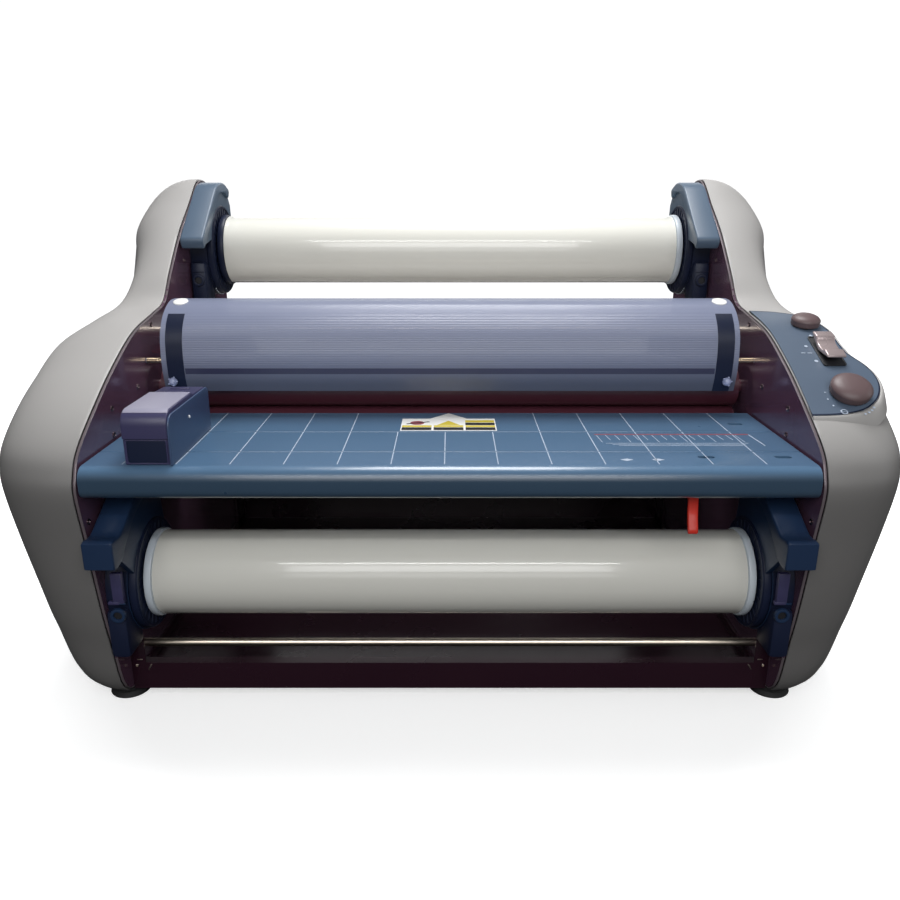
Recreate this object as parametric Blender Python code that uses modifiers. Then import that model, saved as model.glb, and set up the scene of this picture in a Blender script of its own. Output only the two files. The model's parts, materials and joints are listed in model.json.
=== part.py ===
"""Wide-format roll laminator: two film supply rolls, a feed tray, heated nip and pull rollers.

Metres, +Z up.  +X is the operator's right, the operator stands on the -Y side and paper runs towards +Y.
The origin is on the floor, under the middle of the machine.
"""

from math import asin, atan2, cos, degrees, pi, radians, sin

import bmesh
import bpy
from mathutils import Matrix, Vector

# ---------------------------------------------------------------- driving dimensions
FILM_WIDTH = 0.618
FILM_R = 0.0455  # a full supply roll
FILM_DEPTH = 0.0075  # of film wound on the core
CORE_WALL = 0.0017
SPIGOT_R = 0.012
SPIGOT_CLEARANCE = 0.001
ROLL_SIDE_ROOM = 0.041  # from the end of the film to a side plate, on each side

PLATE_T = 0.0025  # steel side plates
COVER_REACH = 0.099  # how far a side cover stands out from its plate
COVER_WALL = 0.003
GAP = 0.0003  # between pieces that touch

FRONT_Y = -0.280  # nose of the side plates
REAR_Y = 0.292
BASE_Z = 0.014  # underside of plates, covers and base pan
NECK_Y, NECK_Z = 0.011, 0.412  # where the feed slope meets the horn
HORN_Y, HORN_Z = 0.200, 0.558  # top of the horn that carries the upper roll
PLATE_INSET = 0.002  # the covers stand this much proud of the plate's edge

TRAY_Z = 0.293  # feeding surface
TRAY_WALL = 0.003
TRAY_LIP = 0.031  # height of the front lip
TRAY_SIDE_CLEARANCE = 0.0025
TRAY_TO_ROLLER = 0.018

HEAT_R = 0.024  # silicone-covered heat rollers
HEAT_Y = -0.032
PULL_R = 0.020
NIP = 0.0006  # between a pair of rollers, with nothing in it
NIP_DROP = 0.001  # the nip line's height under the feeding surface
SHAFT_R = 0.008
SHAFT_CLEARANCE = 0.0005
BEARING_T = 0.008
BEARING_MARGIN = 0.024  # from the outer shafts to the edge of a bearing block

GEAR_MODULE = 0.003
GEAR_WIDTH = 0.010
HEAT_TEETH = 32
PULL_TEETH = 26  # runs the pull rollers' surface a little faster than the heat rollers', to keep the web taut
IDLER_TEETH = 12
PINION_TEETH = 10
GEAR_SLACK = 0.0004  # added to each centre distance
MOTOR_R = 0.030
MOTOR_LENGTH = 0.086

FLANGE_T = 0.0080  # an end cap's flange
HUB_T = 0.022  # a bracket's thickness, from its plate inwards
LEVER_T = 0.008

PIN_R = 0.003  # the safety shield's hinge pins
SHIELD_T = 0.003
SHIELD_END_GAP = 0.022  # from a side plate to the end of the shield
BRACKET_INSET = 0.018  # from the end of the shield to its bracket

LOWER_ROD_R = 0.0048
UPPER_ROD_R = 0.006
RAIL_R = 0.005
CUTTER_WIDTH = 0.040

GUIDE_WIDTH = 0.046
GUIDE_HEIGHT = 0.052
GUIDE_LENGTH = 0.124
FENCE_T = 0.002
LATCH_WIDTH = 0.010

POD_RISE = 0.0016  # the control pod's top above the cover's edge line
POD_T = 0.012
OVERLAY_T = 0.0008
OVERLAY_INSET = 0.0035
SMALL_KNOB_R = 0.0155
SPEED_KNOB_R = 0.0210
ROCKER_SIZE = (0.022, 0.052)
STEM_R = 0.003

FOOT_R = 0.022
FAN_WINDOW = 0.105
FAN_T = 0.025
SHEET_T = 0.0018  # base pan and rear panel

# ---------------------------------------------------------------- sizes and places that follow from them
HALF = FILM_WIDTH / 2 + ROLL_SIDE_ROOM
PLATE_OUT = HALF + PLATE_T
COVER_IN = PLATE_OUT + GAP
COVER_OUT = PLATE_OUT + COVER_REACH
INSIDE = HALF - GAP

NIP_Z = TRAY_Z - NIP_DROP
HEAT_LOWER = (HEAT_Y, NIP_Z - NIP / 2 - HEAT_R)
HEAT_UPPER = (HEAT_Y, NIP_Z + NIP / 2 + HEAT_R)
HEAT_GEAR_R = HEAT_TEETH * GEAR_MODULE / 2
PULL_GEAR_R = PULL_TEETH * GEAR_MODULE / 2
IDLER_GEAR_R = IDLER_TEETH * GEAR_MODULE / 2
PINION_GEAR_R = PINION_TEETH * GEAR_MODULE / 2
HEAT_TO_IDLER = HEAT_GEAR_R + IDLER_GEAR_R + GEAR_SLACK
IDLER_TO_PULL = IDLER_GEAR_R + PULL_GEAR_R + GEAR_SLACK
PULL_RISE = HEAT_R - PULL_R  # both lower rollers come up to the same nip line
PULL_SPAN = ((HEAT_TO_IDLER + IDLER_TO_PULL) ** 2 - PULL_RISE**2) ** 0.5
PULL_Y = HEAT_Y + PULL_SPAN
PULL_LOWER = (PULL_Y, HEAT_LOWER[1] + PULL_RISE)
PULL_UPPER = (PULL_Y, NIP_Z + NIP / 2 + PULL_R)
IDLER_SHARE = HEAT_TO_IDLER / (HEAT_TO_IDLER + IDLER_TO_PULL)
IDLER = (HEAT_Y + PULL_SPAN * IDLER_SHARE, HEAT_LOWER[1] + PULL_RISE * IDLER_SHARE)
PINION = (HEAT_Y, HEAT_LOWER[1] - HEAT_GEAR_R - PINION_GEAR_R - GEAR_SLACK)
BEARING_OUT = COVER_IN + BEARING_T
GEAR_IN = BEARING_OUT + 0.002
GEAR_OUT = GEAR_IN + GEAR_WIDTH

CORE_R = FILM_R - FILM_DEPTH
FLANGE_R = FILM_R + 0.002
HUB_R = FLANGE_R + 0.0145
LEVER_RING_R = FLANGE_R + 0.0125
LEVER_BORE = SPIGOT_R + 0.016
HUB_IN = INSIDE - HUB_T
LEVER_IN = HUB_IN - GAP - LEVER_T
UPPER_ROLL = (HORN_Y - 0.012, HORN_Z - 0.095)
LOWER_ROLL = (FRONT_Y + 0.093, TRAY_Z - 0.148)
LOWER_ROD = (FRONT_Y + 0.108, BASE_Z + 0.034)
UPPER_ROD = (NECK_Y + 0.019, NECK_Z - 0.040)

TRAY_BACK_Y = HEAT_Y - HEAT_R - TRAY_TO_ROLLER
TRAY_HALF = HALF - TRAY_SIDE_CLEARANCE
TRAY_FRONT_Y = FRONT_Y + 0.001
LATCH_X = HALF - 0.113
LATCH_PIVOT = (FRONT_Y + 0.032, TRAY_Z - 0.012)
GUIDE_X = 0.044 - HALF  # outer face of the side guide at rest
CUTTER_X = 0.050 - HALF
RAIL = (PULL_Y + PULL_R + 0.042, TRAY_Z + 0.022)

PIN_AXIS = (HEAT_Y - HEAT_R - 0.012, TRAY_Z + 0.061)
SHIELD_HALF = HALF - SHIELD_END_GAP

POD_INNER_X = COVER_IN + 0.0006
POD_OUT = COVER_IN + COVER_REACH - 0.013
SMALL_KNOB = (POD_OUT - 0.0418, FRONT_Y + 0.196)  # x and y
SPEED_KNOB = (POD_OUT - 0.0398, FRONT_Y + 0.081)
ROCKER = (POD_OUT - 0.0388, FRONT_Y + 0.143)

PAN_FRONT_Y = FRONT_Y + 0.068
PAN_BACK_Y = REAR_Y - 0.010
FOOT_X = HALF + 0.013
FOOT_FRONT_Y = FRONT_Y + 0.090
FOOT_REAR_Y = REAR_Y - 0.067
FOOT_TOP = BASE_Z - GAP
FAN = (HALF - 0.230, BASE_Z + 0.106)  # x and z
INLET = (0.080 - HALF, BASE_Z + 0.056)
SWITCH_X = INLET[0] + 0.060


# ---------------------------------------------------------------- scene, materials, collections
def clear_scene():
    for obj in list(bpy.data.objects):
        bpy.data.objects.remove(obj, do_unlink=True)


def new_collection(name):
    made = bpy.data.collections.new(name)
    bpy.context.scene.collection.children.link(made)
    return made


def make_material(name, color, roughness, metallic=0.0, alpha=1.0):
    made = bpy.data.materials.new(name)
    made.use_nodes = True
    shader = made.node_tree.nodes["Principled BSDF"]
    shader.inputs["Base Color"].default_value = (*color, 1.0)
    shader.inputs["Roughness"].default_value = roughness
    shader.inputs["Metallic"].default_value = metallic
    shader.inputs["Alpha"].default_value = alpha
    made.diffuse_color = (*color, alpha)
    return made


clear_scene()
PARTS = new_collection("roll_laminator")
CUTTERS = new_collection("cutters")

PLUM_STEEL = make_material("plum_painted_steel", (0.085, 0.030, 0.055), 0.28, 0.3)
GREY_PLASTIC = make_material("grey_plastic", (0.34, 0.335, 0.325), 0.48)
BLUE_PLASTIC = make_material("slate_blue_plastic", (0.055, 0.135, 0.250), 0.38)
NAVY_PLASTIC = make_material("navy_plastic", (0.020, 0.035, 0.085), 0.42)
OVERLAY_BLUE = make_material("overlay_blue", (0.105, 0.165, 0.270), 0.42)
KNOB_BROWN = make_material("knob_brown", (0.115, 0.065, 0.060), 0.35)
STEEL = make_material("bright_steel", (0.62, 0.60, 0.56), 0.22, 1.0)
SILICONE = make_material("silicone_rubber", (0.105, 0.030, 0.040), 0.50)
FILM_IVORY = make_material("laminating_film", (0.80, 0.80, 0.74), 0.16)
CAP_PLASTIC = make_material("pale_cap_plastic", (0.55, 0.62, 0.76), 0.36)
CARDBOARD = make_material("core_board", (0.42, 0.33, 0.22), 0.85)
CLEAR_BLUE = make_material("clear_blue_acrylic", (0.42, 0.46, 0.72), 0.08, 0.0, 0.45)
RED_PLASTIC = make_material("red_plastic", (0.60, 0.045, 0.030), 0.32)
RUBBER = make_material("black_rubber", (0.012, 0.012, 0.014), 0.75)
BLACK_PLASTIC = make_material("black_plastic", (0.020, 0.020, 0.022), 0.45)
BOARD_GREEN = make_material("circuit_board", (0.02, 0.16, 0.07), 0.45)
GEAR_NYLON = make_material("gear_nylon", (0.78, 0.76, 0.68), 0.42)


# ---------------------------------------------------------------- outlines, in (y, z)
def arc(center, radius, start, end, steps):
    """Points on an arc, from one angle to another, in degrees."""
    return [
        (center[0] + radius * cos(radians(start + (end - start) * i / steps)),
         center[1] + radius * sin(radians(start + (end - start) * i / steps)))
        for i in range(steps + 1)
    ]


def circle(center, radius, steps=24):
    return arc(center, radius, 0, 360, steps)[:-1]


def spline(points, per_span):
    """A closed Catmull-Rom curve through tuples of any length."""
    made = []
    count = len(points)
    for i in range(count):
        before, here, after, last = (points[(i + k) % count] for k in (-1, 0, 1, 2))
        for step in range(per_span):
            t = step / per_span
            made.append(tuple(
                b + 0.5 * t * (c - a + t * (2 * a - 5 * b + 4 * c - d + t * (3 * (b - c) + d - a)))
                for a, b, c, d in zip(before, here, after, last)
            ))
    return made


def inset(points, distance):
    """A closed outline moved inwards; the outline runs clockwise."""
    made = []
    for i, (y, z) in enumerate(points):
        before, after = points[i - 1], points[(i + 1) % len(points)]
        along = Vector((after[0] - before[0], after[1] - before[1])).normalized()
        made.append((y + along.y * distance, z - along.x * distance))
    return made


def rounded(points, radius, steps=3):
    """A polygon whose corners are rounded with short arcs."""
    made = []
    for i, corner in enumerate(points):
        here = Vector(corner)
        before = (Vector(points[i - 1]) - here).normalized()
        after = (Vector(points[(i + 1) % len(points)]) - here).normalized()
        start, end = here + before * radius, here + after * radius
        for step in range(steps + 1):
            t = step / steps
            made.append(tuple(start * (1 - t) ** 2 + here * 2 * t * (1 - t) + end * t**2))
    return made


def around_hub(polar):
    """Points given as (angle in degrees, rise above the hub bracket's rim), as (y, z) from the hub's axis."""
    made = []
    for angle, rise in polar:
        made.append(((HUB_R + rise) * cos(radians(angle)), (HUB_R + rise) * sin(radians(angle))))
    return made


# ---------------------------------------------------------------- solids
def place(name, data, material, location=(0, 0, 0), rotation=(0, 0, 0), body=None, cutter=False):
    """Links one object; a piece of a moving body is parented to that body's empty, which is on its axis."""
    data.materials.clear()
    data.materials.append(material)
    obj = bpy.data.objects.new(name, data)
    (CUTTERS if cutter else PARTS).objects.link(obj)
    obj.rotation_euler = rotation
    obj.location = location
    if cutter:
        obj.hide_render = True
        obj.display_type = "WIRE"
    if body is not None:
        obj.parent = body
        obj.location = Vector(location) - body.location
    return obj


def body_empty(name, location):
    empty = bpy.data.objects.new(name, None)
    empty.empty_display_size = 0.02
    PARTS.objects.link(empty)
    empty.location = location
    return empty


def extrude_x(name, loops, x0, x1, material, origin=(0, 0), **keys):
    """An outline in (y, z), with any further loops as holes, from x0 to x1, measured from origin."""
    curve = bpy.data.curves.new(name, "CURVE")
    curve.dimensions = "2D"
    curve.fill_mode = "BOTH"
    curve.extrude = abs(x1 - x0) / 2
    for loop in loops:
        path = curve.splines.new("POLY")
        path.points.add(len(loop) - 1)
        for point, (y, z) in zip(path.points, loop):
            point.co = (y, z, 0, 1)
        path.use_cyclic_u = True
    return place(name, curve, material, ((x0 + x1) / 2, *origin), (pi / 2, 0, pi / 2), **keys)


def to_mesh(obj):
    """The same object as a welded mesh, so that it can take a Boolean or be a cutter."""
    graph = bpy.context.evaluated_depsgraph_get()
    data = bpy.data.meshes.new_from_object(obj.evaluated_get(graph))
    bm = bmesh.new()
    bm.from_mesh(data)
    bmesh.ops.remove_doubles(bm, verts=bm.verts, dist=1e-6)
    bmesh.ops.recalc_face_normals(bm, faces=bm.faces)
    bm.to_mesh(data)
    bm.free()
    name, material, home = obj.name, obj.data.materials[0], obj.users_collection[0]
    parent, location, rotation = obj.parent, obj.location.copy(), obj.rotation_euler.copy()
    bpy.data.objects.remove(obj, do_unlink=True)
    made = place(name, data, material, cutter=home == CUTTERS)
    made.rotation_euler = rotation
    made.parent = parent
    made.location = location
    return made


def turned_x(name, profile, center, material, steps=24, **keys):
    """A turned solid about an axis along X. The profile is (x, radius) from high x to low x on its outer
    side; one that doesn't start on the axis is a closed ring."""
    data = bpy.data.meshes.new(name)
    edges = [(i, i + 1) for i in range(len(profile) - 1)]
    if profile[0][1] > 0:
        edges.append((len(profile) - 1, 0))
    data.from_pydata([(radius, 0, x) for x, radius in profile], edges, [])
    obj = place(name, data, material, (0, *center), (0, pi / 2, 0), **keys)
    screw = obj.modifiers.new("turn", "SCREW")
    screw.axis = "Z"
    screw.angle = 2 * pi
    screw.steps = screw.render_steps = steps
    screw.use_merge_vertices = True
    screw.merge_threshold = 0.00001
    screw.use_smooth_shade = True
    return obj


def mirrored(profile, side):
    """A turned profile that is written for the right-hand side (+X), for either side."""
    return profile if side > 0 else [(-x, radius) for x, radius in reversed(profile)]


def rod_x(name, x0, x1, center, radius, material, steps=16, **keys):
    profile = [(x1, 0), (x1, radius), (x0, radius), (x0, 0)]
    return turned_x(name, profile, center, material, steps, **keys)


def block(name, low, high, material, bevel=0.0, rotation=(0, 0, 0), **keys):
    """A box between two corners, with its edges rounded."""
    low, high = Vector(low), Vector(high)
    data = bpy.data.meshes.new(name)
    bm = bmesh.new()
    bmesh.ops.create_cube(bm, size=1.0)
    bmesh.ops.scale(bm, vec=high - low, verts=bm.verts)
    bm.to_mesh(data)
    bm.free()
    obj = place(name, data, material, (low + high) / 2, rotation, **keys)
    if bevel:
        edge = obj.modifiers.new("edges", "BEVEL")
        edge.width = bevel
        edge.segments = 2
    return obj


def boolean(obj, other, operation):
    cut = obj.modifiers.new(operation.lower(), "BOOLEAN")
    cut.operation = operation
    cut.solver = "EXACT"
    cut.object = other


def span(side, inner, outer):
    """x0 and x1 of something between two distances from the middle, on one side."""
    return (inner, outer) if side > 0 else (-outer, -inner)


SIDES = {"left": -1, "right": 1}


# ---------------------------------------------------------------- side plates and covers
def cover_stations():
    """Round the side of the machine, clockwise from the bottom front: the covers' inner edge (y, z), then the
    outer edge of their rounded border as (reach, y, z), where reach is a share of COVER_REACH."""
    return [
        (FRONT_Y + 0.058, BASE_Z + 0.004, 0.72, FRONT_Y + 0.110, BASE_Z + 0.052),
        (FRONT_Y + 0.031, BASE_Z + 0.080, 0.79, FRONT_Y + 0.092, BASE_Z + 0.090),
        (FRONT_Y + 0.019, BASE_Z + 0.135, 0.86, FRONT_Y + 0.084, BASE_Z + 0.140),
        (FRONT_Y + 0.009, TRAY_Z - 0.080, 0.94, FRONT_Y + 0.076, TRAY_Z - 0.082),
        (FRONT_Y, TRAY_Z - 0.030, 0.985, FRONT_Y + 0.072, TRAY_Z - 0.038),
        (FRONT_Y + 0.004, TRAY_Z - 0.008, 0.995, FRONT_Y + 0.073, TRAY_Z - 0.015),
        (FRONT_Y + 0.021, TRAY_Z + 0.015, 1.00, FRONT_Y + 0.084, TRAY_Z + 0.004),
        (FRONT_Y + 0.078, TRAY_Z + 0.050, 0.99, FRONT_Y + 0.108, TRAY_Z + 0.026),
        (FRONT_Y + 0.124, TRAY_Z + 0.074, 0.96, FRONT_Y + 0.142, TRAY_Z + 0.048),
        (FRONT_Y + 0.185, TRAY_Z + 0.099, 0.87, FRONT_Y + 0.186, TRAY_Z + 0.079),
        (NECK_Y - 0.041, NECK_Z - 0.008, 0.72, NECK_Y - 0.040, NECK_Z - 0.021),
        (NECK_Y, NECK_Z + 0.001, 0.58, NECK_Y + 0.008, NECK_Z - 0.006),
        (NECK_Y + 0.031, NECK_Z + 0.031, 0.54, NECK_Y + 0.046, NECK_Z + 0.014),
        (NECK_Y + 0.083, NECK_Z + 0.077, 0.66, NECK_Y + 0.104, NECK_Z + 0.034),
        (HORN_Y - 0.052, HORN_Z - 0.033, 0.80, HORN_Y - 0.042, HORN_Z - 0.082),
        (HORN_Y, HORN_Z, 0.86, HORN_Y + 0.002, HORN_Z - 0.086),
        (HORN_Y + 0.045, HORN_Z - 0.012, 0.88, HORN_Y + 0.034, HORN_Z - 0.086),
        (REAR_Y - 0.014, HORN_Z - 0.066, 0.90, REAR_Y - 0.048, HORN_Z - 0.110),
        (REAR_Y, NECK_Z - 0.010, 0.92, REAR_Y - 0.046, NECK_Z - 0.022),
        (REAR_Y, TRAY_Z, 0.94, REAR_Y - 0.046, TRAY_Z),
        (REAR_Y, TRAY_Z - 0.120, 0.92, REAR_Y - 0.046, TRAY_Z - 0.120),
        (REAR_Y - 0.004, BASE_Z + 0.050, 0.84, REAR_Y - 0.050, BASE_Z + 0.068),
        (REAR_Y - 0.040, BASE_Z + 0.001, 0.74, REAR_Y - 0.070, BASE_Z + 0.044),
        (REAR_Y / 2, BASE_Z, 0.74, REAR_Y / 2, BASE_Z + 0.040),
        (FRONT_Y / 2 + 0.020, BASE_Z, 0.72, FRONT_Y / 2 + 0.025, BASE_Z + 0.042),
    ]


def side_stations(per_span):
    """The stations with smooth ones between them, kept flat along the underside and the rear."""
    return [
        (min(y, REAR_Y), max(z, BASE_Z), reach, outer_y, outer_z)
        for y, z, reach, outer_y, outer_z in spline(cover_stations(), per_span)
    ]


def without_straight_points(points):
    """The outline without the points that lie between two others on a straight run."""
    made = []
    for i, here in enumerate(points):
        before, after = made[-1] if made else points[-1], points[(i + 1) % len(points)]
        first = Vector((here[0] - before[0], here[1] - before[1])).normalized()
        second = Vector((after[0] - here[0], after[1] - here[1])).normalized()
        if first.dot(second) < 0.99999:
            made.append(here)
    return made


SIDE_OUTLINE = [point[:2] for point in side_stations(3)]
PLATE_OUTLINE = without_straight_points(inset(SIDE_OUTLINE, PLATE_INSET))


def edge_height(y):
    """Height of the side outline over the feed slope, at a y between the nose and the neck."""
    for (y0, z0), (y1, z1) in zip(SIDE_OUTLINE, SIDE_OUTLINE[1:]):
        if y0 <= y <= y1 and z0 > TRAY_Z:
            return z0 + (z1 - z0) * (y - y0) / (y1 - y0)
    raise ValueError("y is outside the feed slope")


def edge_tilt(y, reach=0.012):
    """Rotation about X that lays something on the slope there."""
    return atan2(edge_height(y + reach) - edge_height(y - reach), 2 * reach)


def bent_ledge(name, side, y0, y1, top, reach=0.010):
    """A tab bent in from a side plate, which starts inside the plate so that it can be joined to it."""
    x0, x1 = span(side, HALF - reach, HALF + PLATE_T / 2)
    return block(name, (x0, y0, top - PLATE_T), (x1, y1, top), PLUM_STEEL, cutter=True)


def side_plate(name, side):
    bores = [
        circle(center, SHAFT_R + SHAFT_CLEARANCE)
        for center in (HEAT_LOWER, HEAT_UPPER, PULL_LOWER, PULL_UPPER, PINION)
    ]
    bores += [circle(PIN_AXIS, PIN_R + SHAFT_CLEARANCE, 12)]
    x0, x1 = span(side, HALF, PLATE_OUT)
    plate = to_mesh(extrude_x(f"side_plate_{name}", [PLATE_OUTLINE, *bores], x0, x1, PLUM_STEEL))
    ledge_top = TRAY_Z - TRAY_WALL - GAP
    ledge = bent_ledge(f"ledge_{name}", side, FRONT_Y + 0.040, TRAY_BACK_Y - 0.012, ledge_top)
    boolean(plate, ledge, "UNION")


def cover_shell(name, side):
    """A lofted bowl: a rounded border between the plate's outline and a smaller outer one, closed by a
    crowned side. Its stations and its sections differ all the way round, so its faces are built by hand."""
    border_steps, side_steps, rim = 6, 3, 0.004
    center = Vector((COVER_OUT, 0.045, 0.215))
    stations = side_stations(2)
    bm = bmesh.new()
    rings = [[(COVER_IN, y, z) for y, z, _, _, _ in stations]]
    for step in range(border_steps + 1):
        angle = pi / 2 * step / border_steps
        out, in_plane = sin(angle), 1 - cos(angle)
        rings.append([
            (COVER_IN + rim + (reach * COVER_REACH - GAP - rim) * out, y + (oy - y) * in_plane,
             z + (oz - z) * in_plane)
            for y, z, reach, oy, oz in stations
        ])
    border = rings[-1]
    for step in range(1, side_steps):
        share = step / side_steps
        rings.append([
            (x + (center.x - x) * sin(share * pi / 2), y + (center.y - y) * share, z + (center.z - z) * share)
            for x, y, z in border
        ])
    made = [[bm.verts.new((side * x, y, z)) for x, y, z in ring] for ring in rings]
    count = len(stations)
    for inner, outer in zip(made, made[1:]):
        for i in range(count):
            j = (i + 1) % count
            bm.faces.new((inner[i], inner[j], outer[j], outer[i]))
    top = bm.verts.new((side * center.x, center.y, center.z))
    for i in range(count):
        bm.faces.new((made[-1][i], made[-1][(i + 1) % count], top))
    if side > 0:
        bmesh.ops.reverse_faces(bm, faces=bm.faces)
    data = bpy.data.meshes.new(f"side_cover_{name}")
    bm.to_mesh(data)
    bm.free()
    data.shade_smooth()
    cover = place(f"side_cover_{name}", data, GREY_PLASTIC)
    wall = cover.modifiers.new("wall", "SOLIDIFY")
    wall.thickness = COVER_WALL
    wall.offset = -1
    return cover


# ---------------------------------------------------------------- control pod, on the right-hand cover
POD_PLAN = [  # (x, y) round the pod, seen from above
    (POD_INNER_X, FRONT_Y + 0.050),
    (POD_INNER_X + 0.030, FRONT_Y + 0.051),
    (POD_OUT - 0.030, FRONT_Y + 0.056),
    (POD_OUT - 0.012, FRONT_Y + 0.068),
    (POD_OUT - 0.002, FRONT_Y + 0.084),
    (POD_OUT, FRONT_Y + 0.102),
    (POD_OUT - 0.005, FRONT_Y + 0.120),
    (POD_OUT - 0.015, FRONT_Y + 0.139),
    (POD_OUT - 0.017, FRONT_Y + 0.160),
    (POD_OUT - 0.017, FRONT_Y + 0.182),
    (POD_OUT - 0.022, FRONT_Y + 0.210),
    (POD_OUT - 0.032, FRONT_Y + 0.234),
    (POD_INNER_X + 0.030, FRONT_Y + 0.248),
    (POD_INNER_X, FRONT_Y + 0.252),
]


def pod_prism(name, shrink):
    """The pod's outline as an upright prism, smaller all round by shrink."""
    middle_y = (POD_PLAN[0][1] + POD_PLAN[-1][1]) / 2
    loop = []
    for x, y in POD_PLAN:
        toward = max(-1.0, min(1.0, (y - middle_y) / 0.070))
        loop.append((max(x - shrink, POD_INNER_X), y - shrink * toward))
    curve = bpy.data.curves.new(name, "CURVE")
    curve.dimensions = "2D"
    curve.fill_mode = "BOTH"
    curve.extrude = 0.12
    path = curve.splines.new("POLY")
    path.points.add(len(loop) - 1)
    for point, (x, y) in zip(path.points, loop):
        point.co = (x, y, 0, 1)
    path.use_cyclic_u = True
    return to_mesh(place(name, curve, GREY_PLASTIC, (0, 0, TRAY_Z + 0.06), cutter=True))


def slope_band(name, low, high, material, **keys):
    """A band that follows the feed slope's outline, between two heights above it."""
    steps = 14
    start, end = POD_PLAN[0][1] - 0.003, POD_PLAN[-1][1] + 0.003
    line = [start + (end - start) * i / steps for i in range(steps + 1)]
    loop = [(y, edge_height(y) + high) for y in line] + [(y, edge_height(y) + low) for y in reversed(line)]
    return to_mesh(extrude_x(name, [loop], POD_INNER_X - 0.004, COVER_OUT + 0.010, material, **keys))


def on_slope(x, y, rise):
    """A point rise above the pod's top, and the rotation that stands a piece on it."""
    tilt = edge_tilt(y)
    height = POD_RISE + OVERLAY_T + rise
    return Vector((x, y - sin(tilt) * height, edge_height(y) + cos(tilt) * height)), (tilt, 0, 0)


def stem_hole(name, x, y, radius, targets):
    location, rotation = on_slope(x, y, 0)
    profile = [(0.03, 0), (0.03, radius), (-0.03, radius), (-0.03, 0)]
    bore = turned_z(name, profile, location, rotation, GREY_PLASTIC, 12, cutter=True)
    for target in targets:
        boolean(target, bore, "DIFFERENCE")


def turned_z(name, profile, location, rotation, material, steps=24, **keys):
    """A turned solid about its own Z; the profile is (z, radius) from top to bottom."""
    data = bpy.data.meshes.new(name)
    edges = [(i, i + 1) for i in range(len(profile) - 1)]
    data.from_pydata([(radius, 0, z) for z, radius in profile], edges, [])
    obj = place(name, data, material, location, rotation, **keys)
    screw = obj.modifiers.new("turn", "SCREW")
    screw.angle = 2 * pi
    screw.steps = screw.render_steps = steps
    screw.use_merge_vertices = True
    screw.merge_threshold = 0.00001
    screw.use_smooth_shade = True
    return obj


def knob(name, x, y, radius, height):
    """A domed knob on a stem that goes down through the overlay and the pod."""
    location, rotation = on_slope(x, y, 0)
    body = body_empty(f"{name}_axis", location)
    skirt = 0.0012
    dome = [(1.0, 0), (0.97, 0.45), (0.84, 0.78), (0.58, 0.97), (0.34, 1.0)]
    profile = [(height * up, radius * out) for up, out in dome]
    profile += [(skirt, radius * 0.93), (skirt, STEM_R), (-POD_T, STEM_R), (-POD_T, 0)]
    turned_z(name, profile, location, rotation, KNOB_BROWN, 28, body=body)


def rocker(name):
    """The run switch: a saddle-shaped rocker that tips about X in its pocket."""
    x, y = ROCKER
    width, length = ROCKER_SIZE
    location, rotation = on_slope(x, y, 0)
    body = body_empty(f"{name}_axis", location)
    half = length / 2 - 0.0025
    outline = [(-half, -0.004), (half, -0.004), (half, 0.0105), (half - 0.012, 0.0115), (0.006, 0.0070),
               (-0.006, 0.0070), (-half + 0.012, 0.0115), (-half, 0.0105)]
    piece = extrude_x(name, [outline], x - width / 2 + 0.002, x + width / 2 - 0.002, KNOB_BROWN, body=body)
    piece.location = (0, 0, 0)
    tilt = Matrix.Rotation(rotation[0], 3, "X")
    piece.rotation_euler = (tilt @ piece.rotation_euler.to_matrix()).to_euler()


def control_pod(cover):
    """Joins the pod to the cover, lays the overlay on it and cuts both for the stems and the rocker."""
    pod = slope_band("pod", -POD_T, POD_RISE, GREY_PLASTIC, cutter=True)
    boolean(pod, pod_prism("pod_plan", 0.0), "INTERSECT")
    boolean(cover, pod, "UNION")
    overlay = slope_band("control_overlay", POD_RISE + GAP, POD_RISE + OVERLAY_T, OVERLAY_BLUE)
    boolean(overlay, pod_prism("overlay_plan", OVERLAY_INSET), "INTERSECT")
    for label, (x, y) in {"selector": SMALL_KNOB, "speed": SPEED_KNOB}.items():
        stem_hole(f"{label}_hole", x, y, STEM_R + SHAFT_CLEARANCE, (cover, overlay))
    location, rotation = on_slope(*ROCKER, 0)
    size = Vector((*ROCKER_SIZE, 0.030)) / 2
    low, high = location - size, location + size
    pocket = block("rocker_pocket", low, high, GREY_PLASTIC, rotation=rotation, cutter=True)
    for target in (cover, overlay):
        boolean(target, pocket, "DIFFERENCE")
    knob("film_selector_knob", *SMALL_KNOB, SMALL_KNOB_R, 0.0125)
    knob("speed_knob", *SPEED_KNOB, SPEED_KNOB_R, 0.0150)
    rocker("run_rocker")


# ---------------------------------------------------------------- supply rolls, hub brackets and levers
def film_roll(place_name, center):
    body = body_empty(f"{place_name}_roll_axis", (0, *center))
    half = FILM_WIDTH / 2
    inner = CORE_R + GAP
    turned_x(f"{place_name}_film", [(half, FILM_R), (-half, FILM_R), (-half, inner), (half, inner)], center,
             FILM_IVORY, 32, body=body)
    bore = CORE_R - CORE_WALL
    tube = [(half, CORE_R), (-half, CORE_R), (-half, bore), (half, bore)]
    turned_x(f"{place_name}_core", tube, center, CARDBOARD, 24, body=body)
    for name, side in SIDES.items():
        plug_r = bore - GAP
        seat = half + GAP
        profile = [
            (INSIDE - 0.004, 0), (INSIDE - 0.004, SPIGOT_R), (seat + FLANGE_T + 0.001, SPIGOT_R),
            (seat + FLANGE_T, FLANGE_R - 0.002), (seat + FLANGE_T - 0.002, FLANGE_R), (seat, FLANGE_R),
            (seat, plug_r), (half - 0.022, plug_r), (half - 0.022, 0),
        ]
        turned_x(f"{place_name}_end_cap_{name}", mirrored(profile, side), center, CAP_PLASTIC, 24, body=body)


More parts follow.
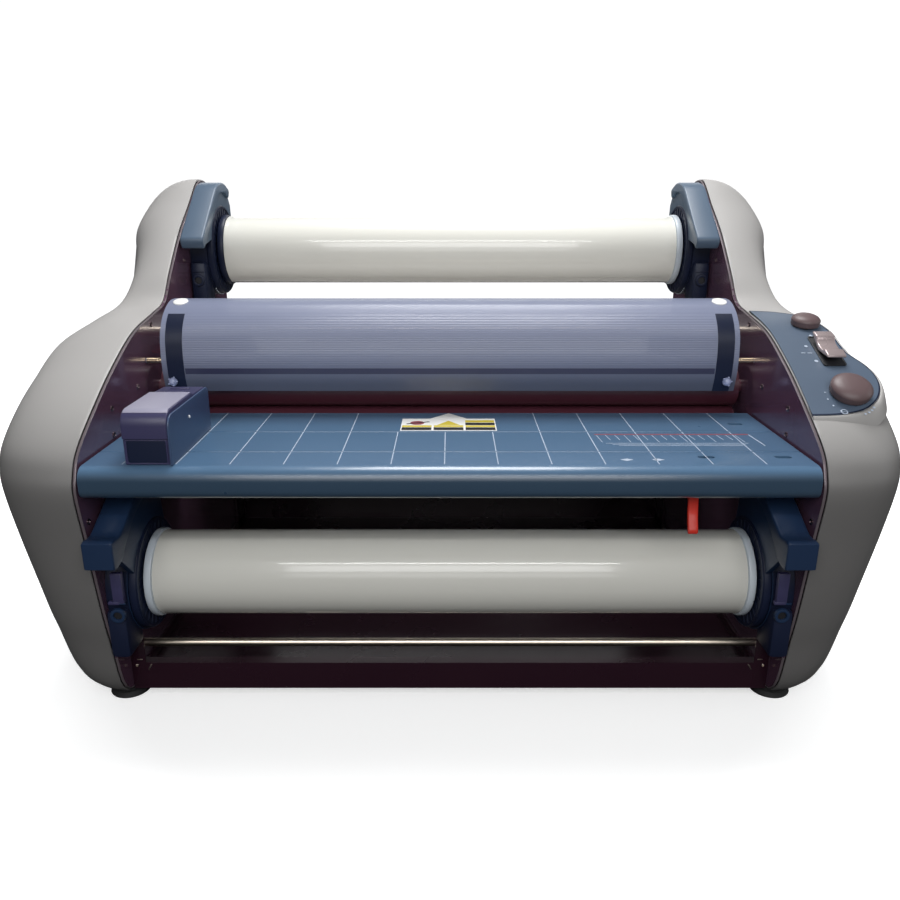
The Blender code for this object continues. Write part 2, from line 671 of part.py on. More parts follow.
def hub_bracket(place_name, center, slot_angle):
    """A round bracket on each side plate, with a slot that the roll's spigot drops into and a front lug."""
    slot = SPIGOT_R + SPIGOT_CLEARANCE
    half_gap = degrees(asin(slot / HUB_R))
    rim = arc((0, 0), HUB_R, slot_angle + half_gap, slot_angle - half_gap + 360, 30)
    seat = arc((0, 0), slot, slot_angle + 270, slot_angle + 90, 10)
    for name, side in SIDES.items():
        x0, x1 = span(side, HUB_IN, INSIDE)
        label = f"{place_name}_hub_bracket_{name}"
        bracket = to_mesh(extrude_x(label, [rim + seat], x0, x1, NAVY_PLASTIC, center))
        lug_x = span(side, HUB_IN + 0.001, INSIDE - GAP)
        low = Vector((lug_x[0], center[0] - HUB_R - 0.008, center[1] - HUB_R - 0.004))
        high = low + Vector((lug_x[1] - lug_x[0], 0.040, 0.054))
        lug = block(f"{place_name}_lug_{name}", low, high, NAVY_PLASTIC, bevel=0.005, cutter=True)
        boolean(bracket, lug, "UNION")


UPPER_HOOD = around_hub([
    (170.2, 0.0496), (103.6, 0.0275), (82.6, 0.0308), (62.6, 0.0292), (62.1, 0.0149), (82.7, 0.0166),
    (102.4, 0.0127), (172.7, 0.0328), (176.6, 0.0402),
])
UPPER_WEB = around_hub([(174.1, 0.0355), (103.3, 0.0161), (81.7, 0.0209), (62.8, 0.0212)])
LOWER_HOOD = around_hub([
    (143.4, 0.0688), (136.8, 0.0533), (123.7, 0.0462), (106.2, 0.0453), (86.8, 0.0442), (69.2, 0.0396),
    (70.1, 0.0263), (87.5, 0.0311), (106.3, 0.0307), (123.7, 0.0317), (140.0, 0.0345), (148.8, 0.0385),
    (153.7, 0.0552),
])
LOWER_WEB = around_hub([(147.5, 0.0423), (125.3, 0.0384), (106.4, 0.0370), (87.1, 0.0371), (69.4, 0.0320)])


def hub_lever(place_name, center, hood, web):
    """A locking lever: a ring round the roll's spigot, a web and a broad hood that the operator turns."""
    web_to_ring = arc((0, 0), LEVER_RING_R - LEVER_T, 50, 160, 8)
    for name, side in SIDES.items():
        body = body_empty(f"{place_name}_lever_{name}_axis", (side * HALF, *center))
        x0, x1 = span(side, LEVER_IN, LEVER_IN + LEVER_T)
        ring = [circle((0, 0), LEVER_RING_R, 28), circle((0, 0), LEVER_BORE, 20)]
        label = f"{place_name}_hub_lever_{name}"
        lever = to_mesh(extrude_x(label, ring, x0, x1, BLUE_PLASTIC, center, body=body))
        web_x = span(side, LEVER_IN + 0.0010, LEVER_IN + LEVER_T - 0.0010)
        hood_x = span(side, LEVER_IN - 0.002, HALF - 0.003)
        for label, loop, (low, high) in (("web", web + web_to_ring, web_x), ("hood", hood, hood_x)):
            label = f"{place_name}_{label}_{name}"
            piece = to_mesh(extrude_x(label, [loop], low, high, BLUE_PLASTIC, center, cutter=True))
            boolean(lever, piece, "UNION")


# ---------------------------------------------------------------- rollers, bearings and the gear train
def roller(name, center, radius, left_end, right_end, material):
    """A covered roller on a shaft; its body empty is on its axis."""
    body = body_empty(f"{name}_axis", (0, *center))
    face = HALF - 0.008
    profile = [(right_end, 0), (right_end, SHAFT_R), (face, SHAFT_R), (face, radius), (-face, radius),
               (-face, SHAFT_R), (left_end, SHAFT_R), (left_end, 0)]
    turned_x(name, profile, center, material, 24, body=body)
    return body


def gear_outline(teeth, phase):
    """Straight-sided teeth, thinner than half a pitch, so that meshed gears keep a backlash."""
    pitch_r = teeth * GEAR_MODULE / 2
    root, tip = pitch_r - 1.15 * GEAR_MODULE, pitch_r + 0.80 * GEAR_MODULE
    pitch = 360 / teeth
    loop = []
    for i in range(teeth):
        middle = phase + i * pitch
        for radius, offset in ((root, -0.30), (tip, -0.11), (tip, 0.11), (root, 0.30)):
            angle = radians(middle + offset * pitch)
            loop.append((radius * cos(angle), radius * sin(angle)))
    return loop


def gear(name, teeth, phase, center, bore, body):
    loops = [gear_outline(teeth, phase), circle((0, 0), bore, 16)]
    return extrude_x(name, loops, -GEAR_OUT, -GEAR_IN, GEAR_NYLON, center, body=body)


def bearing_block(name, side):
    """One block outside each plate, with the four running bores."""
    centers = (HEAT_LOWER, HEAT_UPPER, PULL_LOWER, PULL_UPPER)
    low = (HEAT_Y - BEARING_MARGIN, min(c[1] for c in centers) - BEARING_MARGIN)
    high = (PULL_Y + BEARING_MARGIN, max(c[1] for c in centers) + BEARING_MARGIN)
    outline = rounded([(low[0], low[1]), (high[0], low[1]), (high[0], high[1]), (low[0], high[1])], 0.012)
    bores = [circle(center, SHAFT_R + SHAFT_CLEARANCE, 20) for center in centers]
    bores += [circle(IDLER, SHAFT_R + SHAFT_CLEARANCE, 16)]
    x0, x1 = span(side, COVER_IN, BEARING_OUT)
    extrude_x(f"bearing_block_{name}", [outline, *bores], x0, x1, BLACK_PLASTIC)


def drive_train():
    left_driven, left_plain, right = -GEAR_OUT - 0.002, -BEARING_OUT + 0.001, BEARING_OUT - 0.001
    heat = roller("heat_roller_lower", HEAT_LOWER, HEAT_R, left_driven, right, SILICONE)
    roller("heat_roller_upper", HEAT_UPPER, HEAT_R, left_plain, right, SILICONE)
    pull = roller("pull_roller_lower", PULL_LOWER, PULL_R, left_driven, right, SILICONE)
    roller("pull_roller_upper", PULL_UPPER, PULL_R, left_plain, right, SILICONE)
    bore = SHAFT_R + GAP
    tilt = degrees(atan2(PULL_RISE, PULL_SPAN))
    heat_pitch, idler_pitch = 360 / HEAT_TEETH, 360 / IDLER_TEETH
    gear("heat_roller_gear", HEAT_TEETH, tilt, HEAT_LOWER, bore, heat)
    idler_axis = body_empty("idler_gear_axis", (0, *IDLER))
    teeth = gear_outline(IDLER_TEETH, tilt + 180 + idler_pitch / 2)
    idler = to_mesh(extrude_x("idler_gear", [teeth], -GEAR_OUT, -GEAR_IN, GEAR_NYLON, IDLER, body=idler_axis))
    stub = rod_x("idler_stub", -GEAR_IN - 0.004, -COVER_IN - 0.001, IDLER, SHAFT_R, GEAR_NYLON, cutter=True)
    boolean(idler, stub, "UNION")
    # the idler has an even number of teeth, so a gap also faces the pull roller's gear
    gear("pull_roller_gear", PULL_TEETH, tilt + 180, PULL_LOWER, bore, pull)
    pinion_axis = body_empty("motor_pinion_axis", (0, *PINION))
    nearest = round((270 - tilt) / heat_pitch) * heat_pitch + tilt - 270
    facing = 90 + 180 / PINION_TEETH - nearest * HEAT_TEETH / PINION_TEETH
    teeth = gear_outline(PINION_TEETH, facing)
    pinion = to_mesh(extrude_x("motor_pinion", [teeth], -GEAR_OUT, -GEAR_IN, STEEL, PINION, body=pinion_axis))
    shaft_x = (-GEAR_IN - 0.004, 0.002 - HALF)
    shaft = rod_x("pinion_shaft", *shaft_x, PINION, SHAFT_R - 0.002, STEEL, cutter=True)
    boolean(pinion, shaft, "UNION")
    inner = INSIDE - MOTOR_LENGTH
    pocket = 0.004
    profile = [(INSIDE - pocket, 0), (INSIDE - pocket, SHAFT_R + 0.002), (INSIDE, SHAFT_R + 0.002),
               (INSIDE, MOTOR_R), (inner + 0.006, MOTOR_R), (inner, MOTOR_R - 0.006), (inner, 0)]
    turned_x("gear_motor", mirrored(profile, -1), PINION, STEEL, 24)


# ---------------------------------------------------------------- tray, guide and latch
def feed_tray():
    """A moulded sheet with a rounded front lip, open underneath."""
    body = body_empty("feed_tray_slide", (0, (FRONT_Y + TRAY_BACK_Y) / 2, TRAY_Z))
    y0, z1, z0, wall = TRAY_FRONT_Y, TRAY_Z, TRAY_Z - TRAY_LIP, TRAY_WALL
    outer_r, lower_r = 0.013, 0.009
    loop = [(TRAY_BACK_Y, z1)]
    loop += arc((y0 + outer_r, z1 - outer_r), outer_r, 90, 180, 5)
    loop += arc((y0 + lower_r, z0 + lower_r), lower_r, 180, 270, 4)
    loop += [(y0 + 0.020, z0), (y0 + 0.020, z0 + wall)]
    loop += arc((y0 + lower_r, z0 + lower_r), lower_r - wall, 270, 180, 3)
    loop += arc((y0 + outer_r, z1 - outer_r), outer_r - wall, 180, 90, 4)
    loop += [(TRAY_BACK_Y, z1 - wall)]
    extrude_x("feed_tray", [loop], -TRAY_HALF, TRAY_HALF, BLUE_PLASTIC, body=body)


def tray_latch():
    """The red catch under the tray's front edge; its pivot is up inside the lip."""
    body = body_empty("tray_latch_axis", (LATCH_X, *LATCH_PIVOT))
    front = [(-0.006, 0.006), (-0.005, -0.020), (-0.008, -0.042), (-0.013, -0.058)]
    back = [(-0.009, -0.060), (-0.003, -0.044), (0.001, -0.022), (0.006, 0.000), (0.004, 0.007)]
    x0, x1 = LATCH_X - LATCH_WIDTH / 2, LATCH_X + LATCH_WIDTH / 2
    extrude_x("tray_latch", [front + back], x0, x1, RED_PLASTIC, LATCH_PIVOT, body=body)


def side_guide():
    """The edge guide on the tray: a rounded block with a raised front half, and a fence on its inner side."""
    body = body_empty("side_guide_slide", (GUIDE_X + GUIDE_WIDTH / 2, FRONT_Y + 0.070, TRAY_Z))
    z0, z1 = TRAY_Z + GAP, TRAY_Z + GUIDE_HEIGHT
    y0, y1 = FRONT_Y + 0.013, FRONT_Y + 0.013 + GUIDE_LENGTH
    middle = y0 + 0.079
    nose = 0.015
    wall = 0.004
    loop = [(y1, z0), (y1, z1 - 0.006), (y1 - 0.004, z1 - 0.003), (middle + 0.004, z1 - 0.002), (middle, z1)]
    loop += arc((y0 + nose, z1 - nose), nose, 90, 180, 5)
    loop += [(y0, z0), (y0 + wall, z0), (y0 + wall, z1 - nose)]
    loop += [(y0 + nose, z1 - wall), (y1 - wall, z1 - wall - 0.005), (y1 - wall, z0)]
    inner_x = GUIDE_X + GUIDE_WIDTH
    fence_x = inner_x - FENCE_T
    extrude_x("side_guide", [loop], GUIDE_X, fence_x - GAP, BLUE_PLASTIC, body=body)
    low, high = (y0 - 0.002, z0), (y1 + 0.002, z1 - 0.004)
    fence = rounded([low, (high[0], low[1]), high, (low[0], high[1])], 0.003, 2)
    extrude_x("guide_fence", [fence], fence_x, inner_x, BLUE_PLASTIC, body=body)


# ---------------------------------------------------------------- safety shield
def shield_line(depth):
    """The shield's section about its hinge, moved inwards by depth: upright in front, then curving back."""
    line = [(-0.008, -0.034), (-0.013, -0.018), (-0.015, 0.0), (-0.0145, 0.014), (-0.012, 0.028)]
    line += [(-0.005, 0.041), (0.006, 0.052), (0.020, 0.060), (0.036, 0.0645), (0.052, 0.065)]
    made = []
    for i, (y, z) in enumerate(line):
        before, after = line[max(i - 1, 0)], line[min(i + 1, len(line) - 1)]
        along = Vector((after[0] - before[0], after[1] - before[1])).normalized()
        made.append((y + along.y * depth, z - along.x * depth))
    return made


def safety_shield():
    body = body_empty("safety_shield_axis", (0, *PIN_AXIS))
    section = shield_line(0.0) + shield_line(SHIELD_T)[::-1]
    extrude_x("safety_shield", [section], -SHIELD_HALF, SHIELD_HALF, CLEAR_BLUE, PIN_AXIS, body=body)
    bracket_x = SHIELD_HALF - BRACKET_INSET
    for name, side in SIDES.items():
        x0, x1 = span(side, bracket_x - SHIELD_T, bracket_x)
        loop = shield_line(SHIELD_T + 2 * GAP)[:6] + [(0.018, 0.036), (0.012, 0.0), (0.008, -0.034)]
        label = f"shield_bracket_{name}"
        bracket = to_mesh(extrude_x(label, [loop], x0, x1, CLEAR_BLUE, PIN_AXIS, body=body))
        pin_x = span(side, bracket_x - SHIELD_T + 0.001, PLATE_OUT + 0.002)
        pin = rod_x(f"shield_pin_{name}", *pin_x, PIN_AXIS, PIN_R, STEEL, 12, cutter=True)
        boolean(bracket, pin, "UNION")


# ---------------------------------------------------------------- base, rear, rods, electrics, feet
def sheet_outline(points, thickness):
    """A bent sheet's section. The points are its outer side; it lies to the right of the way they run."""
    inner = []
    for i, here in enumerate(points):
        before = Vector(points[max(i - 1, 0)])
        after = Vector(points[min(i + 1, len(points) - 1)])
        first = (Vector(here) - before if i else after - Vector(here)).normalized()
        second = (after - Vector(here) if i < len(points) - 1 else first).normalized()
        mitre = (Vector((first.y, -first.x)) + Vector((second.y, -second.x))).normalized()
        stretch = thickness / max(0.3, mitre.dot(Vector((first.y, -first.x))))
        inner.append((here[0] + mitre.x * stretch, here[1] + mitre.y * stretch))
    return list(points) + inner[::-1]


def chassis():
    front_height = 0.032
    pan = [(PAN_BACK_Y, BASE_Z), (PAN_FRONT_Y, BASE_Z), (PAN_FRONT_Y, BASE_Z + front_height),
           (PAN_FRONT_Y + 0.012, BASE_Z + front_height)]
    extrude_x("base_pan", [sheet_outline(pan, SHEET_T)], -INSIDE, INSIDE, PLUM_STEEL)
    rear_low, rear_high = BASE_Z + SHEET_T + GAP, TRAY_Z - 0.034
    rear = [(PAN_BACK_Y - 0.014, rear_high), (PAN_BACK_Y, rear_high), (PAN_BACK_Y, rear_low)]
    panel = to_mesh(extrude_x("rear_panel", [sheet_outline(rear, SHEET_T)], -INSIDE, INSIDE, PLUM_STEEL))
    fan_x, fan_z = FAN
    half_window = FAN_WINDOW / 2
    slots = 7
    for i in range(slots):
        z = fan_z + (i - (slots - 1) / 2) * FAN_WINDOW / slots
        slot = block(f"fan_slot_{i}", (fan_x - half_window, PAN_BACK_Y - 0.010, z - 0.0035),
                     (fan_x + half_window, PAN_BACK_Y + 0.010, z + 0.0035), PLUM_STEEL, cutter=True)
        boolean(panel, slot, "DIFFERENCE")
    hood_z = TRAY_Z + 0.074
    hood = [(PULL_Y - 0.016, hood_z), (PAN_BACK_Y - 0.060, hood_z), (PAN_BACK_Y - 0.001, hood_z - 0.018),
            (PAN_BACK_Y - 0.001, hood_z - 0.038)]
    extrude_x("rear_cover", [sheet_outline(hood, 0.0022)], -INSIDE, INSIDE, GREY_PLASTIC)
    rod_x("lower_idler_rod", -INSIDE, INSIDE, LOWER_ROD, LOWER_ROD_R, STEEL)
    rod_x("upper_idler_rod", -INSIDE, INSIDE, UPPER_ROD, UPPER_ROD_R, STEEL)
    cooling_fan(fan_x, PAN_BACK_Y - SHEET_T, fan_z)
    rear_electrics()


def cooling_fan(x, back, z):
    """A square fan behind the rear panel's slots: a frame with a spider, and a rotor."""
    half = FAN_WINDOW / 2 + 0.007
    y1 = back - GAP
    y0 = y1 - FAN_T
    frame = block("fan_frame", (x - half, y0, z - half), (x + half, y1, z + half), BLACK_PLASTIC)
    tunnel_r = FAN_WINDOW / 2
    facing = (pi / 2, 0, 0)
    middle = (y0 + y1) / 2
    tunnel = turned_z("fan_tunnel", [(FAN_T, 0), (FAN_T, tunnel_r), (-FAN_T, tunnel_r), (-FAN_T, 0)],
                      (x, middle, z), facing, BLACK_PLASTIC, 28, cutter=True)
    boolean(frame, tunnel, "DIFFERENCE")
    for i in range(3):
        reach = tunnel_r + 0.003
        spoke = block(f"fan_spoke_{i}", (x - reach, y0, z - 0.003), (x + reach, y0 + 0.004, z + 0.003),
                      BLACK_PLASTIC, rotation=(0, radians(60 * i), 0), cutter=True)
        boolean(frame, spoke, "UNION")
    body = body_empty("fan_rotor_axis", (x, middle, z))
    hub_r, blade_r = 0.019, tunnel_r - 0.002
    deep = (y0 + 0.004 + 0.001 - middle, y1 - 0.001 - middle)
    rotor = turned_z("fan_rotor", [(-deep[0], 0), (-deep[0], hub_r), (-deep[1], hub_r), (-deep[1], 0)],
                     (x, middle, z), facing, BLACK_PLASTIC, 20, body=body)
    for i in range(5):
        angle = radians(72 * i)
        blade = block(f"fan_blade_{i}", (x - 0.0012, middle - 0.008, z), (x + 0.0012, middle + 0.008, z + 1),
                      BLACK_PLASTIC, cutter=True)
        blade.data.transform(Matrix.Diagonal((1, 1, blade_r - hub_r + 0.004, 1)))
        blade.data.transform(Matrix.Rotation(radians(35), 4, "Z"))
        blade.data.transform(Matrix.Translation((0, 0, (blade_r + hub_r) / 2 - 0.002)))
        blade.data.transform(Matrix.Rotation(angle, 4, "Y"))
        blade.location = (x, middle, z)
        boolean(rotor, blade, "UNION")


def rear_electrics():
    """Mains inlet and switch on the rear panel, supply and board outside the right-hand plate."""
    x, z = INLET
    y0 = PAN_BACK_Y + GAP
    low, high = (x - 0.025, y0, z - 0.016), (x + 0.025, y0 + 0.009, z + 0.016)
    inlet = block("power_inlet", low, high, BLACK_PLASTIC)
    socket = block("inlet_socket", (x - 0.013, y0 + 0.002, z - 0.009), (x + 0.013, y0 + 0.020, z + 0.009),
                   BLACK_PLASTIC, cutter=True)
    boolean(inlet, socket, "DIFFERENCE")
    low, high = (SWITCH_X - 0.014, y0, z - 0.018), (SWITCH_X + 0.014, y0 + 0.006, z + 0.018)
    frame = block("mains_switch_frame", low, high, BLACK_PLASTIC)
    low, high = (SWITCH_X - 0.010, y0 + 0.0015, z - 0.014), (SWITCH_X + 0.010, y0 + 0.020, z + 0.014)
    well = block("switch_well", low, high, BLACK_PLASTIC, cutter=True)
    boolean(frame, well, "DIFFERENCE")
    axis = (y0 + 0.0055, z)
    body = body_empty("mains_switch_axis", (SWITCH_X, *axis))
    loop = [(-0.0030, -0.0015), (-0.0005, -0.0132), (0.0030, -0.0132), (0.0014, 0.0), (0.0030, 0.0132),
            (-0.0005, 0.0132), (-0.0030, 0.0015)]
    extrude_x("mains_switch", [loop], SWITCH_X - 0.0095, SWITCH_X + 0.0095, BLACK_PLASTIC, axis, body=body)
    board_x = BEARING_OUT + 0.004
    low, high = (FRONT_Y + 0.065, TRAY_Z - 0.163), (FRONT_Y + 0.205, TRAY_Z - 0.003)
    board = rounded([low, (high[0], low[1]), high, (low[0], high[1])], 0.004, 2)
    extrude_x("control_board", [board], board_x, board_x + 0.0016, BOARD_GREEN)
    block("power_supply", (COVER_IN + 0.004, REAR_Y - 0.212, BASE_Z + 0.046),
          (COVER_IN + 0.048, REAR_Y - 0.092, BASE_Z + 0.166), STEEL, bevel=0.002)


def slitter():
    """The cross cutter behind the pull rollers: a carriage that slides along a rail."""
    rod_x("slitter_rail", -INSIDE, INSIDE, RAIL, RAIL_R, STEEL)
    body = body_empty("slitter_carriage_slide", (CUTTER_X, *RAIL))
    loop = rounded([(-0.016, -0.018), (0.016, -0.018), (0.016, 0.020), (-0.016, 0.020)], 0.005)
    half = CUTTER_WIDTH / 2
    extrude_x("slitter_carriage", [loop, circle((0, 0), RAIL_R + SHAFT_CLEARANCE, 16)], CUTTER_X - half,
              CUTTER_X + half, RED_PLASTIC, RAIL, body=body)


def feet():
    for name, side in SIDES.items():
        for end, y in (("front", FOOT_FRONT_Y), ("rear", FOOT_REAR_Y)):
            profile = [(FOOT_TOP, 0), (FOOT_TOP, FOOT_R), (FOOT_TOP * 0.45, FOOT_R), (0.0015, FOOT_R - 0.004),
                       (0, FOOT_R - 0.006), (0, 0)]
            turned_z(f"foot_{end}_{name}", profile, (side * FOOT_X, y, 0), (0, 0, 0), RUBBER, 20)


def build():
    for name, side in SIDES.items():
        side_plate(name, side)
        bearing_block(name, side)
    cover_shell("left", -1)
    control_pod(cover_shell("right", 1))
    chassis()
    film_roll("upper", UPPER_ROLL)
    film_roll("lower", LOWER_ROLL)
    hub_bracket("upper", UPPER_ROLL, 120)
    hub_bracket("lower", LOWER_ROLL, 80)
    hub_lever("upper", UPPER_ROLL, UPPER_HOOD, UPPER_WEB)
    hub_lever("lower", LOWER_ROLL, LOWER_HOOD, LOWER_WEB)
    drive_train()
    feed_tray()
    tray_latch()
    side_guide()
    safety_shield()
    slitter()
    feet()


build()
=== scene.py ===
"""Looks of the roll laminator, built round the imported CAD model.

Metres, +Z up, +X to the operator's right, paper runs towards +Y.  Every place comes from the frame's boxes.
"""

import json
from functools import partial
from math import atan2, cos, pi, radians, sin

import bmesh
import bpy
from mathutils import Matrix, Vector


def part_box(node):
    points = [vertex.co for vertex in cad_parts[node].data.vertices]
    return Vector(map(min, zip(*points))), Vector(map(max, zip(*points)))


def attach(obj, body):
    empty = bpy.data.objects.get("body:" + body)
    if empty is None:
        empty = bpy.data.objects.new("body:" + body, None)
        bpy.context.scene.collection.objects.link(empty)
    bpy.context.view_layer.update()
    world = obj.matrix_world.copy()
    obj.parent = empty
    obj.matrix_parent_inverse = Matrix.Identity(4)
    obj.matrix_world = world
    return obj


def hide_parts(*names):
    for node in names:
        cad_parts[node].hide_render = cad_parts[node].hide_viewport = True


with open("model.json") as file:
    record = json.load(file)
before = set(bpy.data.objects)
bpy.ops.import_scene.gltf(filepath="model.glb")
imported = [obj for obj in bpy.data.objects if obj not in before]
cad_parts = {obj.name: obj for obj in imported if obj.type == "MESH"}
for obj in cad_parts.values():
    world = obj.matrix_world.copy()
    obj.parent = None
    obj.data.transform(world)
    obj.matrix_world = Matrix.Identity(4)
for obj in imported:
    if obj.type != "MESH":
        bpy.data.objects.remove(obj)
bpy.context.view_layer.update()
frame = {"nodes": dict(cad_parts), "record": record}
NODES = frame["nodes"]
SIDES = {"left": -1, "right": 1}


def low(name):
    return Vector(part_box(name)[0])


def high(name):
    return Vector(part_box(name)[1])


def middle(name):
    return (low(name) + high(name)) / 2


# ---------------------------------------------------------------- places, from the frame
PLATE_T = 0.0025
PLATE_OUT = high("side_plate_right").x
HALF = PLATE_OUT - PLATE_T
COVER_IN = low("side_cover_right").x
COVER_OUT = high("side_cover_right").x
COVER_REACH = COVER_OUT - PLATE_OUT
GAP = COVER_IN - PLATE_OUT
TRAY_Z = high("feed_tray").z
TRAY_FRONT_Y = low("feed_tray").y
TRAY_BACK_Y = high("feed_tray").y
TRAY_HALF = high("feed_tray").x
FRONT_Y = TRAY_FRONT_Y - 0.001
BASE_Z = low("side_cover_right").z
REAR_Y = high("side_cover_right").y
HORN_Y, HORN_Z = REAR_Y - 0.092, high("side_cover_right").z
NECK_Y, NECK_Z = FRONT_Y + 0.291, TRAY_Z + 0.119
ROLLS = {"upper": middle("upper_film"), "lower": middle("lower_film")}
FILM_HALF = high("upper_film").x
FILM_R = high("upper_film").z - ROLLS["upper"].z
FLANGE_R = high("upper_end_cap_right").z - ROLLS["upper"].z
HUB_IN, INSIDE = low("upper_hub_bracket_right").x, high("upper_hub_bracket_right").x
HUB_R = ROLLS["lower"].z - low("lower_hub_bracket_right").z - 0.004
LEVER_LOW, LEVER_HIGH = low("upper_hub_lever_right").x, high("upper_hub_lever_right").x
SHIELD_HALF = high("safety_shield").x


# ---------------------------------------------------------------- materials
def link(tree, source, target):
    tree.links.new(source, target)


def node(tree, kind, **values):
    made = tree.nodes.new(kind)
    for name, value in values.items():
        if hasattr(made, name):
            setattr(made, name, value)
        else:
            made.inputs[name.replace("_", " ")].default_value = value
    return made


def painted(name, color, roughness=0.4, metallic=0.0, mottle=0.05, mottle_scale=9.0, grain=0.0,
            grain_scale=900.0, stretch=(1, 1, 1), painted_shade=None, **sockets):
    """A moulded, painted or metal surface: its colour and roughness drift a little, under a fine grain.

    Painted shade by height, given as (low height, high height, share of the colour's strength at the low
    one), dims the colour low down.
    """
    rough_spread = 0.06
    made = bpy.data.materials.new(name)
    made.use_nodes = True
    tree = made.node_tree
    shader = tree.nodes["Principled BSDF"]
    shader.inputs["Metallic"].default_value = metallic
    for socket, value in sockets.items():
        shader.inputs[socket.replace("_", " ")].default_value = value
    where = node(tree, "ShaderNodeTexCoord")
    scaled = node(tree, "ShaderNodeMapping")
    scaled.inputs["Scale"].default_value = stretch
    link(tree, where.outputs["Object"], scaled.inputs["Vector"])
    drift = node(tree, "ShaderNodeTexNoise", Scale=mottle_scale, Detail=4.0, Roughness=0.55)
    link(tree, scaled.outputs["Vector"], drift.inputs["Vector"])
    mix = node(tree, "ShaderNodeMix", data_type="RGBA", blend_type="MIX")
    mix.inputs[6].default_value = (*[c * (1 - mottle) for c in color], 1)
    mix.inputs[7].default_value = (*[min(1.0, c * (1 + mottle)) for c in color], 1)
    link(tree, drift.outputs["Fac"], mix.inputs[0])
    tint = mix.outputs[2]
    # painted shade: below the given height the colour dims
    if painted_shade:
        height = node(tree, "ShaderNodeSeparateXYZ")
        link(tree, where.outputs["Object"], height.inputs[0])
        share = node(tree, "ShaderNodeMapRange", interpolation_type="SMOOTHSTEP")
        for socket, value in zip(("From Min", "From Max", "To Min"), painted_shade):
            share.inputs[socket].default_value = value
        link(tree, height.outputs["Z"], share.inputs["Value"])
        dim = node(tree, "ShaderNodeVectorMath", operation="SCALE")
        link(tree, tint, dim.inputs[0])
        link(tree, share.outputs["Result"], dim.inputs["Scale"])
        tint = dim.outputs["Vector"]
    link(tree, tint, shader.inputs["Base Color"])
    rough = node(tree, "ShaderNodeMapRange")
    rough.inputs["To Min"].default_value = max(0.02, roughness - rough_spread)
    rough.inputs["To Max"].default_value = roughness + rough_spread
    link(tree, drift.outputs["Fac"], rough.inputs["Value"])
    link(tree, rough.outputs["Result"], shader.inputs["Roughness"])
    if grain:
        fine = node(tree, "ShaderNodeTexNoise", Scale=grain_scale, Detail=2.0)
        link(tree, scaled.outputs["Vector"], fine.inputs["Vector"])
        bump = node(tree, "ShaderNodeBump", Strength=grain, Distance=0.0002)
        link(tree, fine.outputs["Fac"], bump.inputs["Height"])
        link(tree, bump.outputs["Normal"], shader.inputs["Normal"])
    return made


moulded = partial(painted, mottle=0.05, grain=0.25, grain_scale=1300)
# cover_grey carries painted shade: the covers grow darker towards their bottoms, where the light from above
# falls off.
COVER_GREY = painted("cover_grey", (0.420, 0.408, 0.398), 0.48, mottle=0.03, grain=0.25, grain_scale=1400,
                     painted_shade=(0.255, 0.365, 0.38))
# pan_plum is a darker copy of plum_steel: painted shade on the base pan, rear panel and chassis returns,
# low down and inside the machine.
PAN_PLUM = painted("pan_plum", (0.026, 0.008, 0.016), 0.28, 0.1, mottle=0.08, grain=0.12, grain_scale=500,
                   Coat_Weight=0.3, Coat_Roughness=0.15)
PLUM_STEEL = painted("plum_steel", (0.112, 0.056, 0.094), 0.20, 0.1, mottle=0.08, grain=0.12,
                     grain_scale=500, Coat_Weight=0.5, Coat_Roughness=0.10)
# edge_highlight_plum is a painted highlight: a lighter plum for the strip where the plate's edge catches
# the light.
EDGE_HIGHLIGHT_PLUM = painted("edge_highlight_plum", (0.17, 0.14, 0.155), 0.30, 0.3, mottle=0.05)
# tray_blue carries painted shade: its rounded front darkens below the top.
TRAY_BLUE = painted("tray_blue", (0.085, 0.168, 0.280), 0.30, mottle=0.05, grain=0.2, grain_scale=1600,
                    painted_shade=(TRAY_Z - 0.012, TRAY_Z - 0.0003, 0.38), Coat_Weight=0.6, Coat_Roughness=0.22)
LEVER_BLUE = moulded("lever_blue", (0.082, 0.125, 0.185), 0.40)
# deep_blue is a darker copy of lever_blue: painted shade on the lower levers, under the tray; the lower hub
# bosses also take it.
DEEP_BLUE = moulded("deep_blue", (0.013, 0.030, 0.074), 0.36, Specular_IOR_Level=0.35)
FENCE_BLUE = moulded("fence_blue", (0.045, 0.075, 0.150), 0.34)
GUIDE_BLUE = moulded("guide_blue", (0.045, 0.042, 0.105), 0.34)
NAVY = moulded("navy_plastic", (0.009, 0.014, 0.038), 0.42, mottle=0.06, Specular_IOR_Level=0.3)
OVERLAY = painted("overlay_blue", (0.088, 0.122, 0.176), 0.38, mottle=0.03, grain=0.2, grain_scale=1500)
KNOB_BROWN = painted("knob_brown", (0.125, 0.082, 0.085), 0.44, mottle=0.06, grain=0.15)
ROCKER_BROWN = painted("rocker_brown", (0.450, 0.370, 0.370), 0.26, 0.45, mottle=0.06, grain=0.1)
STEEL = painted("bright_steel", (0.72, 0.64, 0.54), 0.34, 1.0, mottle=0.05, stretch=(0.2, 6, 6))
SCREW_DARK = painted("screw_dark", (0.16, 0.12, 0.13), 0.26, 1.0, mottle=0.1)
SILICONE = painted("silicone", (0.085, 0.022, 0.036), 0.36, mottle=0.10, grain=0.2)
# film carries painted shade: the lower roll is darker than the upper one.
FILM = painted("film", (0.90, 0.89, 0.82), 0.22, mottle=0.02, stretch=(0.15, 14, 14),
               painted_shade=(0.10, 0.45, 0.80), Coat_Weight=0.7, Coat_Roughness=0.06)
CAP = painted("cap_plastic", (0.58, 0.64, 0.70), 0.34, mottle=0.03, grain=0.1)
BOARD = painted("core_board", (0.42, 0.33, 0.22), 0.85, mottle=0.12, mottle_scale=60)
